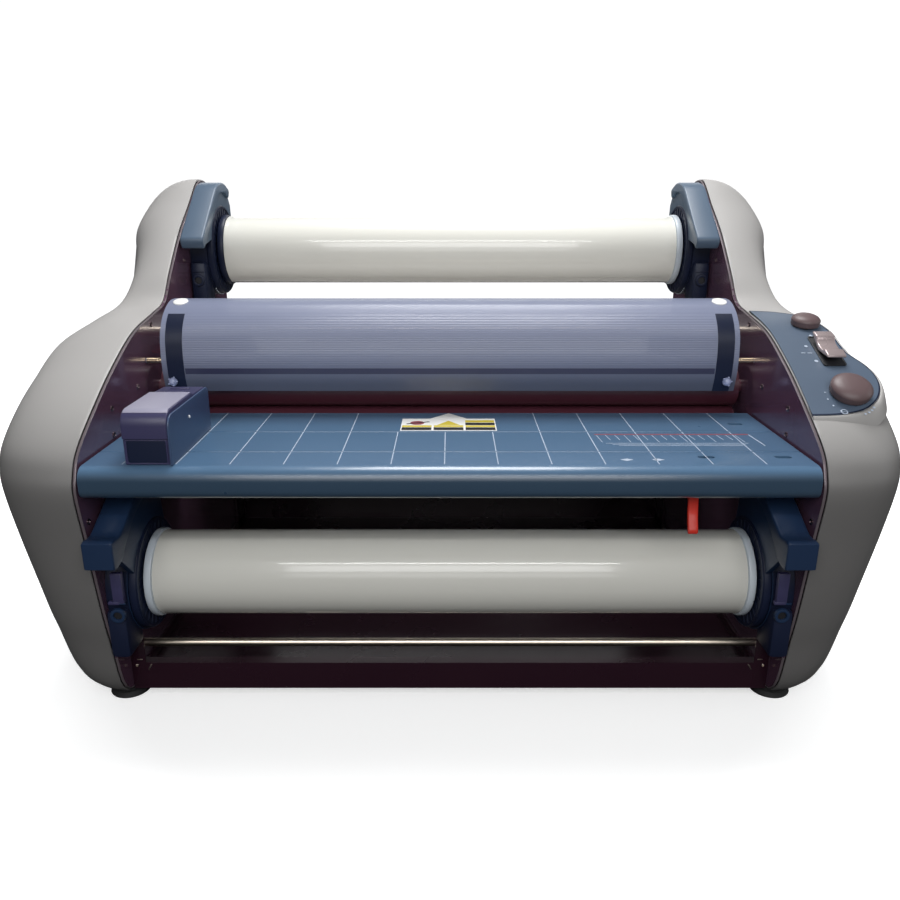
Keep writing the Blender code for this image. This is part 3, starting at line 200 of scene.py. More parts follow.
# clear_blue carries painted shade: the shield darkens towards its foot.
CLEAR = painted("clear_blue", (0.235, 0.262, 0.375), 0.30, mottle=0.03, painted_shade=(0.325, 0.365, 0.45),
                Alpha=0.86)
# shield_shade_band is painted shade: a dark strip across the shield near its foot.
SHIELD_SHADE_BAND = painted("shield_shade_band", (0.040, 0.042, 0.085), 0.30, mottle=0.05)
RED = painted("red_plastic", (0.62, 0.035, 0.020), 0.24, mottle=0.05, Coat_Weight=0.4)
RUBBER = painted("rubber", (0.012, 0.012, 0.013), 0.7, mottle=0.15, grain=0.4)
BLACK = painted("black_plastic", (0.014, 0.014, 0.017), 0.42, mottle=0.1, grain=0.25)
CIRCUIT = painted("board_green", (0.02, 0.16, 0.07), 0.45)
NYLON = painted("gear_nylon", (0.76, 0.74, 0.66), 0.42, mottle=0.03)
PRINT_WHITE = painted("print_white", (0.46, 0.53, 0.64), 0.5, mottle=0.08, mottle_scale=80)
LABEL_WHITE = painted("label_white", (0.86, 0.86, 0.84), 0.4, mottle=0.03)
PRINT_RED = painted("print_red", (0.28, 0.060, 0.080), 0.5, mottle=0.08)
PRINT_YELLOW = painted("print_yellow", (0.62, 0.50, 0.04), 0.45, mottle=0.05)
LID_LAVENDER = painted("guide_lid", (0.300, 0.290, 0.380), 0.36, mottle=0.03, grain=0.2)
THUMB_CLEAR = painted("thumb_clear", (0.40, 0.45, 0.68), 0.12, Alpha=0.75)
PIN_BRASS = painted("pin_brass", (0.72, 0.58, 0.40), 0.2, 1.0)

SLOT_FINISH = {
    "plum_steel": PLUM_STEEL, "cover_grey": COVER_GREY, "slate_blue": TRAY_BLUE, "navy_plastic": NAVY,
    "overlay_blue": OVERLAY, "knob_brown": KNOB_BROWN, "bright_steel": STEEL, "silicone": SILICONE,
    "film": FILM, "cap_plastic": CAP, "core_board": BOARD, "clear_blue": CLEAR, "red_plastic": RED,
    "rubber": RUBBER, "black_plastic": BLACK, "board_green": CIRCUIT, "gear_nylon": NYLON,
}


# ---------------------------------------------------------------- outlines
def arc(center, radius, start, end, steps):
    """Points on an arc, from one angle to another, in degrees."""
    made = []
    for i in range(steps + 1):
        angle = radians(start + (end - start) * i / steps)
        made.append((center[0] + radius * cos(angle), center[1] + radius * sin(angle)))
    return made


def circle(center, radius, steps=48):
    return arc(center, radius, 0, 360, steps)[:-1]


def spline(points, per_span, closed=True):
    """A Catmull-Rom curve through tuples of any length."""
    made = []
    count = len(points)
    for i in range(count if closed else count - 1):
        near = [(i + k) % count if closed else min(max(i + k, 0), count - 1) for k in (-1, 0, 1, 2)]
        before, here, after, last = (points[k] for k in near)
        for step in range(per_span):
            t = step / per_span
            made.append(tuple(
                b + 0.5 * t * (c - a + t * (2 * a - 5 * b + 4 * c - d + t * (3 * (b - c) + d - a)))
                for a, b, c, d in zip(before, here, after, last)
            ))
    return made if closed else made + [tuple(points[-1])]


def rounded(points, radius, steps=4):
    """A closed polygon whose corners are rounded."""
    made = []
    for i, corner in enumerate(points):
        here = Vector(corner)
        to_before, to_after = Vector(points[i - 1]) - here, Vector(points[(i + 1) % len(points)]) - here
        size = min(radius, to_before.length * 0.45, to_after.length * 0.45)
        start, end = here + to_before.normalized() * size, here + to_after.normalized() * size
        for step in range(steps + 1):
            t = step / steps
            made.append(tuple(start * (1 - t) ** 2 + here * 2 * t * (1 - t) + end * t**2))
    return made


def rectangle(x0, y0, x1, y1):
    return [(x0, y0), (x1, y0), (x1, y1), (x0, y1)]


def area(loop):
    return sum(a[0] * b[1] - b[0] * a[1] for a, b in zip(loop, loop[1:] + loop[:1])) / 2


# ---------------------------------------------------------------- mesh building
WELD = 0.000002  # points nearer than this become one
SHARP, CAD_SHARP = 35, 32  # degrees; an edge that turns more stays sharp
# Turns for add_extrusion: its outline lies flat as (x, y), or faces the front as (x, z).
LYING = Matrix(((0, 1, 0, 0), (0, 0, 1, 0), (1, 0, 0, 0), (0, 0, 0, 1)))
FACING_FRONT = Matrix(((0, 1, 0, 0), (1, 0, 0, 0), (0, 0, 1, 0), (0, 0, 0, 1)))


def placed(point, angle, axis="X"):
    """Stands something at a point, turned about one axis by an angle in radians."""
    return Matrix.Translation(point) @ Matrix.Rotation(angle, 4, axis)


def about_x(center):
    """Local Z along +X, on an axis through center, which is (y, z) or a point."""
    y, z = center[-2:]
    return placed((0, y, z), pi / 2, "Y")


def ring_section(low_end, high_end, inner, outer):
    """For add_turned: a flat ring between two heights and two radii."""
    return [(high_end, outer), (high_end, inner), (low_end, inner), (low_end, outer)]


def disc_section(low_end, high_end, radius):
    """For add_turned: a flat disc between two heights."""
    return [(high_end, 0), (high_end, radius), (low_end, radius), (low_end, 0)]


def add_extrusion(bm, loops, x0, x1, bevel=0.0, matrix=None, steps=2):
    """Adds an outline in (y, z), with further loops as holes, from x0 to x1, its edges rounded."""
    curve = bpy.data.curves.new("outline", "CURVE")
    curve.dimensions = "2D"
    curve.fill_mode = "BOTH"
    curve.extrude = abs(x1 - x0) / 2 - bevel
    curve.bevel_depth = bevel
    curve.bevel_resolution = steps
    curve.offset = -bevel
    for i, loop in enumerate(loops):
        loop = [tuple(p) for p in loop]
        if (area(loop) > 0) == (i > 0):
            loop.reverse()
        path = curve.splines.new("POLY")
        path.points.add(len(loop) - 1)
        for point, (y, z) in zip(path.points, loop):
            point.co = (y, z, 0, 1)
        path.use_cyclic_u = True
    helper = bpy.data.objects.new("outline", curve)
    bpy.context.scene.collection.objects.link(helper)
    data = bpy.data.meshes.new_from_object(helper.evaluated_get(bpy.context.evaluated_depsgraph_get()))
    turn = Matrix(((0, 0, 1, (x0 + x1) / 2), (1, 0, 0, 0), (0, 1, 0, 0), (0, 0, 0, 1)))
    data.transform((matrix or Matrix()) @ turn)
    bm.from_mesh(data)
    bpy.data.objects.remove(helper)
    bpy.data.curves.remove(curve)
    bpy.data.meshes.remove(data)


def add_turned(bm, profile, matrix, steps=64):
    """Adds a solid turned about the matrix's Z. Its profile is (height, radius); off the axis, a ring."""
    rings = []
    for height, radius in profile:
        if radius == 0:
            rings.append([bm.verts.new(matrix @ Vector((0, 0, height)))] * steps)
        else:
            rings.append([bm.verts.new(matrix @ Vector((x, y, height)))
                          for x, y in circle((0, 0), radius, steps)])
    pairs = list(zip(rings, rings[1:]))
    if profile[0][1] > 0:
        pairs.append((rings[-1], rings[0]))
    for first, second in pairs:
        for i in range(steps):
            j = (i + 1) % steps
            corners = list(dict.fromkeys((first[i], first[j], second[j], second[i])))
            if len(corners) > 2:
                bm.faces.new(corners)


def add_block(bm, lowest, highest, bevel=0.001, matrix=None, segments=2):
    """Adds a box between two corners, with its edges rounded."""
    lowest, highest = Vector(lowest), Vector(highest)
    size = highest - lowest
    place = Matrix.Translation((lowest + highest) / 2) @ Matrix.Diagonal((*size, 1))
    verts = bmesh.ops.create_cube(bm, size=1.0, matrix=place)["verts"]
    edges = list({edge for vert in verts for edge in vert.link_edges})
    made = bmesh.ops.bevel(bm, geom=edges, offset=min(bevel, min(size) * 0.45), segments=segments,
                           profile=0.5, affect="EDGES")
    if matrix:
        moved = {vert for face in made["faces"] for vert in face.verts} | {v for v in verts if v.is_valid}
        bmesh.ops.transform(bm, matrix=matrix, verts=list(moved))


def add_loft(bm, rings):
    """Adds a skin through closed rings of the same number of points."""
    made = [[bm.verts.new(point) for point in ring] for ring in rings]
    count = len(rings[0])
    for first, second in zip(made, made[1:]):
        for i in range(count):
            j = (i + 1) % count
            bm.faces.new((first[i], first[j], second[j], second[i]))


def add_screw(bm, matrix, radius=0.0031, height=0.0012):
    """Adds a pan-head screw with a socket, its head standing along the matrix's Z."""
    profile = [(height * 0.35, 0), (height * 0.35, radius * 0.34), (height, radius * 0.44),
               (height, radius * 0.66), (height * 0.82, radius * 0.86), (height * 0.4, radius),
               (0, radius), (-0.0004, radius), (-0.0004, 0)]
    add_turned(bm, profile, matrix, 20)


def finish_piece(name, bm, material, body, replaces=(), angle=SHARP):
    """Makes the piece, smooth except at its sharp edges, hangs it on its body and hides the CAD nodes it
    replaces.
    """
    bmesh.ops.remove_doubles(bm, verts=bm.verts, dist=WELD)
    bmesh.ops.recalc_face_normals(bm, faces=bm.faces)
    data = bpy.data.meshes.new(name)
    bm.to_mesh(data)
    bm.free()
    data.materials.append(material)
    data.shade_smooth()
    data.set_sharp_from_angle(angle=radians(angle))
    piece = bpy.data.objects.new(name, data)
    bpy.context.scene.collection.objects.link(piece)
    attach(piece, body)
    if replaces:
        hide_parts(*replaces)
    return piece


def finish_cad_nodes():
    """Gives each CAD node the procedural finish of its material slot, smooth between its sharp edges; the
    base pan and rear panel get pan_plum instead, a darker plum that paints shade on them.
    """
    for entry in frame["record"]["subparts"]:
        obj = NODES[entry["node"]]
        obj.data.materials.clear()
        # the base pan and rear panel take pan_plum, painted shade on their plum steel
        dark = entry["node"] in ("base_pan", "rear_panel")
        obj.data.materials.append(PAN_PLUM if dark else SLOT_FINISH[entry["material_slot"]])
        weld = obj.modifiers.new("weld", "WELD")
        weld.merge_threshold = WELD
        for face in obj.data.polygons:
            face.use_smooth = True
        split = obj.modifiers.new("sharp", "EDGE_SPLIT")
        split.split_angle = radians(CAD_SHARP)


# ---------------------------------------------------------------- side covers and plates
def cover_stations():
    """Round the side of the machine, clockwise from the bottom front, five values at each station.

    They are the covers' inner edge (y, z), then the outer edge of their rounded border as
    (reach, y, z), where reach is a share of COVER_REACH.
    """
    return [
        (FRONT_Y + 0.058, BASE_Z + 0.004, 0.72, FRONT_Y + 0.110, BASE_Z + 0.052),
        (FRONT_Y + 0.031, BASE_Z + 0.080, 0.79, FRONT_Y + 0.092, BASE_Z + 0.090),
        (FRONT_Y + 0.019, BASE_Z + 0.135, 0.86, FRONT_Y + 0.084, BASE_Z + 0.140),
        (FRONT_Y + 0.009, TRAY_Z - 0.080, 0.94, FRONT_Y + 0.076, TRAY_Z - 0.082),
        (FRONT_Y, TRAY_Z - 0.030, 0.985, FRONT_Y + 0.072, TRAY_Z - 0.038),
        (FRONT_Y + 0.004, TRAY_Z - 0.008, 0.995, FRONT_Y + 0.073, TRAY_Z - 0.015),
        (FRONT_Y + 0.021, TRAY_Z + 0.015, 1.00, FRONT_Y + 0.084, TRAY_Z + 0.004),
        (FRONT_Y + 0.078, TRAY_Z + 0.050, 0.99, FRONT_Y + 0.108, TRAY_Z + 0.026),
        (FRONT_Y + 0.124, TRAY_Z + 0.074, 0.96, FRONT_Y + 0.142, TRAY_Z + 0.048),
        (FRONT_Y + 0.185, TRAY_Z + 0.099, 0.87, FRONT_Y + 0.186, TRAY_Z + 0.079),
        (NECK_Y - 0.041, NECK_Z - 0.008, 0.72, NECK_Y - 0.040, NECK_Z - 0.021),
        (NECK_Y, NECK_Z + 0.001, 0.58, NECK_Y + 0.008, NECK_Z - 0.006),
        (NECK_Y + 0.031, NECK_Z + 0.031, 0.54, NECK_Y + 0.046, NECK_Z + 0.014),
        (NECK_Y + 0.083, NECK_Z + 0.077, 0.66, NECK_Y + 0.104, NECK_Z + 0.034),
        (HORN_Y - 0.052, HORN_Z - 0.033, 0.80, HORN_Y - 0.042, HORN_Z - 0.082),
        (HORN_Y, HORN_Z, 0.86, HORN_Y + 0.002, HORN_Z - 0.086),
        (HORN_Y + 0.045, HORN_Z - 0.012, 0.88, HORN_Y + 0.034, HORN_Z - 0.086),
        (REAR_Y - 0.014, HORN_Z - 0.066, 0.90, REAR_Y - 0.048, HORN_Z - 0.110),
        (REAR_Y, NECK_Z - 0.010, 0.92, REAR_Y - 0.046, NECK_Z - 0.022),
        (REAR_Y, TRAY_Z, 0.94, REAR_Y - 0.046, TRAY_Z),
        (REAR_Y, TRAY_Z - 0.120, 0.92, REAR_Y - 0.046, TRAY_Z - 0.120),
        (REAR_Y - 0.004, BASE_Z + 0.050, 0.84, REAR_Y - 0.050, BASE_Z + 0.068),
        (REAR_Y - 0.040, BASE_Z + 0.001, 0.74, REAR_Y - 0.070, BASE_Z + 0.044),
        (REAR_Y / 2, BASE_Z, 0.74, REAR_Y / 2, BASE_Z + 0.040),
        (FRONT_Y / 2 + 0.020, BASE_Z, 0.72, FRONT_Y / 2 + 0.025, BASE_Z + 0.042),
    ]


STATIONS = [
    (min(y, REAR_Y), min(max(z, BASE_Z), HORN_Z), reach, oy, oz)
    for y, z, reach, oy, oz in spline(cover_stations(), 6)
]
OUTLINE = [station[:2] for station in STATIONS]


def inset(points, distance):
    """A closed outline moved inwards; the outline runs clockwise."""
    made = []
    for i, (y, z) in enumerate(points):
        before, after = points[i - 1], points[(i + 1) % len(points)]
        along = Vector((after[0] - before[0], after[1] - before[1])).normalized()
        made.append((y + along.y * distance, z - along.x * distance))
    return made


def edge_height(y):
    """Height of the side outline over the feed slope, at a y between the nose and the neck."""
    for (y0, z0), (y1, z1) in zip(OUTLINE, OUTLINE[1:]):
        if y0 <= y <= y1 and z0 > TRAY_Z:
            return z0 + (z1 - z0) * (y - y0) / (y1 - y0)
    raise ValueError("y is outside the feed slope")


def side_cover(name, side):
    """A lofted bowl: a thin lip at the plate, a rounded border, and a crowned side that runs on from it."""
    border_steps, side_steps, smoothings = 14, 10, 45
    wall, lip, rim, border_width = 0.003, 0.0007, 0.004, 0.06
    center = Vector((COVER_OUT - GAP, 0.045, 0.215))

    def ring(x_of, share):
        return [(x_of(reach), y + (oy - y) * share, z + (oz - z) * share)
                for y, z, reach, oy, oz in STATIONS]

    rings = [ring(lambda reach: COVER_IN, lip / border_width), ring(lambda reach: COVER_IN + lip, 0.0)]
    for step in range(border_steps + 1):
        angle = pi / 2 * step / border_steps
        rings.append(ring(
            lambda reach, out=sin(angle): COVER_IN + rim + (reach * COVER_REACH - GAP - rim) * out,
            1 - cos(angle)))
    border = rings[-1]
    for step in range(1, side_steps):
        share = step / side_steps
        bulge = share * share * (3 - 2 * share)
        rings.append([
            (x + (center.x - x) * bulge, y + (center.y - y) * share, z + (center.z - z) * share)
            for x, y, z in border
        ])
    rings = [[(side * x, y, z) for x, y, z in points] for points in rings]
    bm = bmesh.new()
    add_loft(bm, rings)
    top = bm.verts.new((side * center.x, center.y, center.z))
    bm.verts.ensure_lookup_table()
    count = len(STATIONS)
    last = list(bm.verts)[(len(rings) - 1) * count:len(rings) * count]
    for i in range(count):
        bm.faces.new((last[i], last[(i + 1) % count], top))
    inner = list(bm.verts)[(border_steps + 3) * count:]
    for _ in range(smoothings):  # evens out the crowned side, and leaves its border as it is
        bmesh.ops.smooth_vert(bm, verts=inner, factor=0.5,
                              use_axis_x=True, use_axis_y=True, use_axis_z=True)
    cover = finish_piece(f"cover_shell_{name}", bm, COVER_GREY, "chassis",
                         [f"side_cover_{name}"])
    thick = cover.modifiers.new("wall", "SOLIDIFY")
    thick.thickness = wall
    thick.offset = -1


def plate_details(name, side):
    """A lighter strip along the plate's edge, a painted highlight where the edge catches the light, and the
    screws that hold the plate to what is behind it.
    """
    bm = bmesh.new()
    setback, edge_width = 0.0019, 0.0010
    edge, inner_edge = inset(OUTLINE, setback), inset(OUTLINE, setback + edge_width)
    x0, x1 = sorted((side * (HALF - 0.0002), side * PLATE_OUT))
    add_extrusion(bm, [edge, inner_edge], x0, x1, 0.0003)
    finish_piece(f"plate_edge_highlight_{name}", bm, EDGE_HIGHLIGHT_PLUM, "chassis")
    bm = bmesh.new()
    spots = ((HORN_Y - 0.101, HORN_Z - 0.103), (FRONT_Y + 0.237, TRAY_Z + 0.099),
             (FRONT_Y + 0.177, TRAY_Z + 0.038), (FRONT_Y + 0.103, TRAY_Z + 0.032),
             (FRONT_Y + 0.100, TRAY_Z + 0.0045), (FRONT_Y + 0.018, TRAY_Z - 0.059),
             (FRONT_Y + 0.220, BASE_Z + 0.050), (FRONT_Y + 0.400, BASE_Z + 0.050),
             (FRONT_Y + 0.400, TRAY_Z - 0.040))
    for y, z in spots:
        add_screw(bm, placed((side * HALF, y, z), -side * pi / 2, "Y"))
    finish_piece(f"plate_screws_{name}", bm, SCREW_DARK, "chassis")


# ---------------------------------------------------------------- control pod and its overlay
PRINT_T = 0.00015
POD_INNER_X = low("control_overlay").x
POD_OUT = high("control_overlay").x + 0.0035
POD_RISE, OVERLAY_T = 0.0016, 0.0008
POD_PLAN = [
    (POD_INNER_X, FRONT_Y + 0.050), (POD_INNER_X + 0.030, FRONT_Y + 0.051),
    (POD_OUT - 0.030, FRONT_Y + 0.056), (POD_OUT - 0.012, FRONT_Y + 0.068),
    (POD_OUT - 0.002, FRONT_Y + 0.084), (POD_OUT, FRONT_Y + 0.102),
    (POD_OUT - 0.005, FRONT_Y + 0.120), (POD_OUT - 0.015, FRONT_Y + 0.139),
    (POD_OUT - 0.017, FRONT_Y + 0.160), (POD_OUT - 0.017, FRONT_Y + 0.182),
    (POD_OUT - 0.022, FRONT_Y + 0.210), (POD_OUT - 0.032, FRONT_Y + 0.234),
    (POD_INNER_X + 0.030, FRONT_Y + 0.248), (POD_INNER_X, FRONT_Y + 0.252),
]


def on_slope(x, y, rise):
    """The place and turn of something rise above the overlay's underside."""
    reach = 0.012
    tilt = atan2(edge_height(y + reach) - edge_height(y - reach), 2 * reach)
    height = POD_RISE + OVERLAY_T + rise
    point = Vector((x, y - sin(tilt) * height, edge_height(y) + cos(tilt) * height))
    return placed(point, tilt)


def pod_loop(shrink, rise, grow=0.0):
    """The pod's outline, smaller all round by shrink, raised over the slope; grow widens its outer side."""
    centre_y = (POD_PLAN[0][1] + POD_PLAN[-1][1]) / 2
    loop = []
    for x, y in spline(POD_PLAN, 5, closed=False):
        toward = max(-1.0, min(1.0, (y - centre_y) / 0.070))
        out = max(x - shrink + grow, POD_INNER_X)
        y = y - (shrink - grow) * toward
        loop.append(Vector((out, y, edge_height(y) + rise)))
    return loop


def control_pod():
    """A raised pad with a soft rim round the overlay, which runs down into the cover."""
    bm = bmesh.new()
    rim = 0.0034
    levels = [(0.0, -0.012, 0.0030), (0.0, -0.0060, 0.0016), (0.0, -0.0020, 0.0005), (0.0002, 0.0, 0),
              (0.0008, 0.0014, 0), (0.0016, 0.0021, 0), (0.0024, 0.0022, 0), (rim - 0.0002, 0.0016, 0),
              (rim, 0.0004, 0), (rim + 0.001, 0.0002, 0)]
    rings = [pod_loop(shrink, rise, grow) for shrink, rise, grow in levels]
    add_loft(bm, rings)
    bm.verts.ensure_lookup_table()
    count = len(rings[0])
    verts = list(bm.verts)[-count:]
    for i in range(count // 2 - 1):  # strips across, so that the floor follows the slope
        a, b = verts[i], verts[i + 1]
        c, d = verts[count - 2 - i], verts[count - 1 - i]
        corners = list(dict.fromkeys((a, b, c, d)))
        if len(corners) > 2:
            bm.faces.new(corners)
    finish_piece("pod_rim", bm, COVER_GREY, "chassis", ["side_cover_right"], angle=50)


def overlay_gap_shade():
    """A thin dark line round the overlay's edge: painted shade for the gap where the overlay meets the
    pod's rim.
    """
    rise = POD_RISE + OVERLAY_T
    top, outer, inner = rise + 0.00012, 0.0036, 0.0046
    bm = bmesh.new()
    band = [(outer, rise), (outer, top), (inner, top), (inner, rise), (outer, rise)]
    add_loft(bm, [pod_loop(shrink, height) for shrink, height in band])
    finish_piece("overlay_gap_shade", bm, NAVY, "chassis")


def slope_print(bm, x, y, size, kind):
    """One small printed mark on the overlay."""
    place = on_slope(x, y, 0.00005)
    if kind == "ring":
        add_turned(bm, ring_section(0, PRINT_T, size * 0.78, size), place, 24)
    elif kind == "dot":
        add_turned(bm, disc_section(0, PRINT_T, size), place, 16)
    elif kind == "bar":
        add_block(bm, (-size, -size * 0.22, 0), (size, size * 0.22, PRINT_T), 0.00003, place, 1)
    else:  # a small arrow head
        points = [(-size, -size * 0.7), (size, -size * 0.7), (0, size)]
        lower = [bm.verts.new(place @ Vector((px, py, 0))) for px, py in points]
        upper = [bm.verts.new(place @ Vector((px, py, PRINT_T))) for px, py in points]
        bm.faces.new(lower)
        bm.faces.new(upper)
        for i in range(3):
            bm.faces.new((lower[i], lower[(i + 1) % 3], upper[(i + 1) % 3], upper[i]))


def overlay_marks():
    """Dial marks round the speed knob, and simple pictograms by each control, with no lettering."""
    bm = bmesh.new()
    speed, selector, rocker = middle("speed_knob"), middle("film_selector_knob"), middle("run_rocker")
    for i, angle in enumerate((168, 188, 208, 228, -74, -62, -50, -38)):
        angle, radius = radians(angle), 0.0243 if i < 4 else 0.0222
        slope_print(bm, speed.x + radius * cos(angle), speed.y + radius * sin(angle), 0.0008 + 0.00008 * i,
                    "dot")
    for dx, size in ((-0.0135, 0.0034), (-0.0147, 0.0010), (-0.0123, 0.0010)):
        slope_print(bm, speed.x + dx, speed.y - 0.0188, size, "ring")
    for dx, dy, size, kind in ((-0.0035, -0.0235, 0.0030, "arrow"), (0.0125, -0.0215, 0.0030, "arrow")):
        slope_print(bm, selector.x + dx, selector.y + dy, size, kind)
    for dx, dy, size, kind in ((-0.0190, 0.0105, 0.0018, "dot"), (-0.0260, -0.001, 0.0024, "bar"),
                               (-0.0190, -0.001, 0.0024, "bar"), (-0.0170, -0.0140, 0.0020, "dot")):
        slope_print(bm, rocker.x + dx, rocker.y + dy, size, kind)
    finish_piece("overlay_marks", bm, PRINT_WHITE, "chassis")


def knob(name, node_name, height, r, uphill):
    """A domed disc with a waist line and a ribbed skirt on its stem, uphill of its node's middle."""
    centre = middle(node_name)
    ribs = 40
    place = on_slope(centre.x, centre.y + uphill, 0)
    bm = bmesh.new()
    dome = [(height, 0), (height * 0.992, r * 0.25), (height * 0.955, r * 0.50),
            (height * 0.89, r * 0.70), (height * 0.80, r * 0.84), (height * 0.69, r * 0.935),
            (height * 0.60, r * 0.985), (height * 0.54, r), (height * 0.45, r),
            (height * 0.42, r * 0.985), (height * 0.38, r * 0.985), (height * 0.30, r * 0.98),
            (height * 0.10, r * 0.945), (0.0008, r * 0.93), (0.0008, 0.003), (-0.012, 0.003), (-0.012, 0)]
    add_turned(bm, dome, place, 72)
    for i in range(ribs):
        angle = 2 * pi * i / ribs
        rib = place @ Matrix.Rotation(angle, 4, "Z") @ Matrix.Translation((r * 0.955, 0, height * 0.22))
        add_block(bm, (-0.0004, -0.0004, -height * 0.12), (0.0004, 0.0004, height * 0.14), 0.0002, rib, 1)
    finish_piece(name, bm, KNOB_BROWN, node_name, [node_name])


def run_rocker():
    """A saddle between two raised pads, in a dark pocket with a slim frame."""
    place = on_slope(middle("run_rocker").x, FRONT_Y + 0.143, 0)
    half = 0.0235  # half its length; its underside rises to both ends, to clear the well when it tips
    outline = [(-half, 0.0080), (0.0, 0.0012), (half, 0.0080), (half, 0.0094), (half - 0.0015, 0.0105),
               (half - 0.0110, 0.0113), (0.0085, 0.0078), (0.004, 0.0066), (-0.004, 0.0066),
               (-0.0085, 0.0078), (-half + 0.0110, 0.0113), (-half + 0.0015, 0.0105), (-half, 0.0094)]
    bm = bmesh.new()
    add_extrusion(bm, [rounded(outline, 0.0016, 3)], -0.0100, 0.0100, 0.0014, place, 3)
    finish_piece("rocker_saddle", bm, ROCKER_BROWN, "run_rocker", ["run_rocker"])
    bm = bmesh.new()
    outer = rounded(rectangle(-0.0122, -0.0272, 0.0122, 0.0272), 0.004, 5)
    inner = rounded(rectangle(-0.0104, -0.0252, 0.0104, 0.0252), 0.0025, 5)
    add_extrusion(bm, [outer, inner], 0.0001, 0.0011, 0.0003, place @ LYING)
    finish_piece("rocker_frame", bm, BLACK, "chassis")
    bm = bmesh.new()
    add_block(bm, (-0.0106, -0.0254, 0.0001), (0.0106, 0.0254, 0.0005), 0.0001, place)
    finish_piece("rocker_well", bm, BLACK, "chassis")


# ---------------------------------------------------------------- feed tray
GROOVES = (TRAY_FRONT_Y + 0.126, TRAY_FRONT_Y + 0.055)
LINE_PITCH = 0.0508
TRAY_SLOTS = [(0.3173, TRAY_FRONT_Y + 0.157), (0.2487, TRAY_FRONT_Y + 0.038),
              (0.3235, TRAY_FRONT_Y + 0.038)]


def feed_tray():
    """A moulded tray with a full rounded front, two grooves across, and oval adjustment slots."""
    y0, wall, bottom = TRAY_FRONT_Y, 0.003, low("feed_tray").z
    nose, foot = 0.0135, 0.010
    top = [(TRAY_BACK_Y, TRAY_Z - 0.0008), (TRAY_BACK_Y - 0.0008, TRAY_Z)]
    for y in GROOVES:
        top += [(y + 0.0011, TRAY_Z), (y + 0.0007, TRAY_Z - 0.0009), (y - 0.0007, TRAY_Z - 0.0009),
                (y - 0.0011, TRAY_Z)]
    loop = top + arc((y0 + nose, TRAY_Z - nose), nose, 90, 180, 12)
    loop += arc((y0 + foot, bottom + foot), foot, 180, 270, 10)
    loop += [(y0 + 0.020, bottom), (y0 + 0.020, bottom + wall)]
    loop += arc((y0 + foot, bottom + foot), foot - wall, 270, 180, 6)
    loop += arc((y0 + nose, TRAY_Z - nose), nose - wall, 180, 90, 8)
    loop += [(TRAY_BACK_Y, TRAY_Z - wall)]
    bm = bmesh.new()
    add_extrusion(bm, [loop], -TRAY_HALF, TRAY_HALF, 0.0006)
    tray = finish_piece("tray_shell", bm, TRAY_BLUE, "feed_tray", ["feed_tray"])
    slots = bmesh.new()
    ends = arc((0.0045, 0), 0.0038, -90, 90, 8) + arc((-0.0045, 0), 0.0038, 90, 270, 8)
    for x, y in TRAY_SLOTS:
        slot = [(x + px, y + py) for px, py in ends]
        add_extrusion(slots, [slot], TRAY_Z - 0.01, TRAY_Z + 0.01, 0, LYING)
    bmesh.ops.remove_doubles(slots, verts=slots.verts, dist=WELD)
    bmesh.ops.recalc_face_normals(slots, faces=slots.faces)
    cut_away(tray, slots)


def cut_away(piece, bm):
    """Cuts a closed shape out of a piece."""
    data = bpy.data.meshes.new("cutter")
    bm.to_mesh(data)
    bm.free()
    cutter = bpy.data.objects.new("cutter", data)
    bpy.context.scene.collection.objects.link(cutter)
    cut = piece.modifiers.new("cut", "BOOLEAN")
    cut.object = cutter
    cut.operation = "DIFFERENCE"
    cut.solver = "EXACT"
    graph = bpy.context.evaluated_depsgraph_get()
    made = bpy.data.meshes.new_from_object(piece.evaluated_get(graph))
    piece.modifiers.remove(cut)
    old = piece.data
    piece.data = made
    bpy.data.meshes.remove(old)
    bpy.data.objects.remove(cutter)
    made.shade_smooth()
    made.set_sharp_from_angle(angle=radians(SHARP))


def add_print(bm, points, z):
    """Adds a flat printed shape, given as (x, y), lying on a level surface."""
    lower = [bm.verts.new((x, y, z)) for x, y in points]
    upper = [bm.verts.new((x, y, z + PRINT_T)) for x, y in points]
    bm.faces.new(lower[::-1])
    bm.faces.new(upper)
    for i in range(len(points)):
        j = (i + 1) % len(points)
        bm.faces.new((lower[i], lower[j], upper[j], upper[i]))


def strip(x0, y0, x1, y1, width):
    """A thin line as four corners, from one point to another."""
    along = Vector((x1 - x0, y1 - y0)).normalized() * width / 2
    side = Vector((-along.y, along.x))
    return [(x0 + side.x, y0 + side.y), (x1 + side.x, y1 + side.y), (x1 - side.x, y1 - side.y),
            (x0 - side.x, y0 - side.y)]


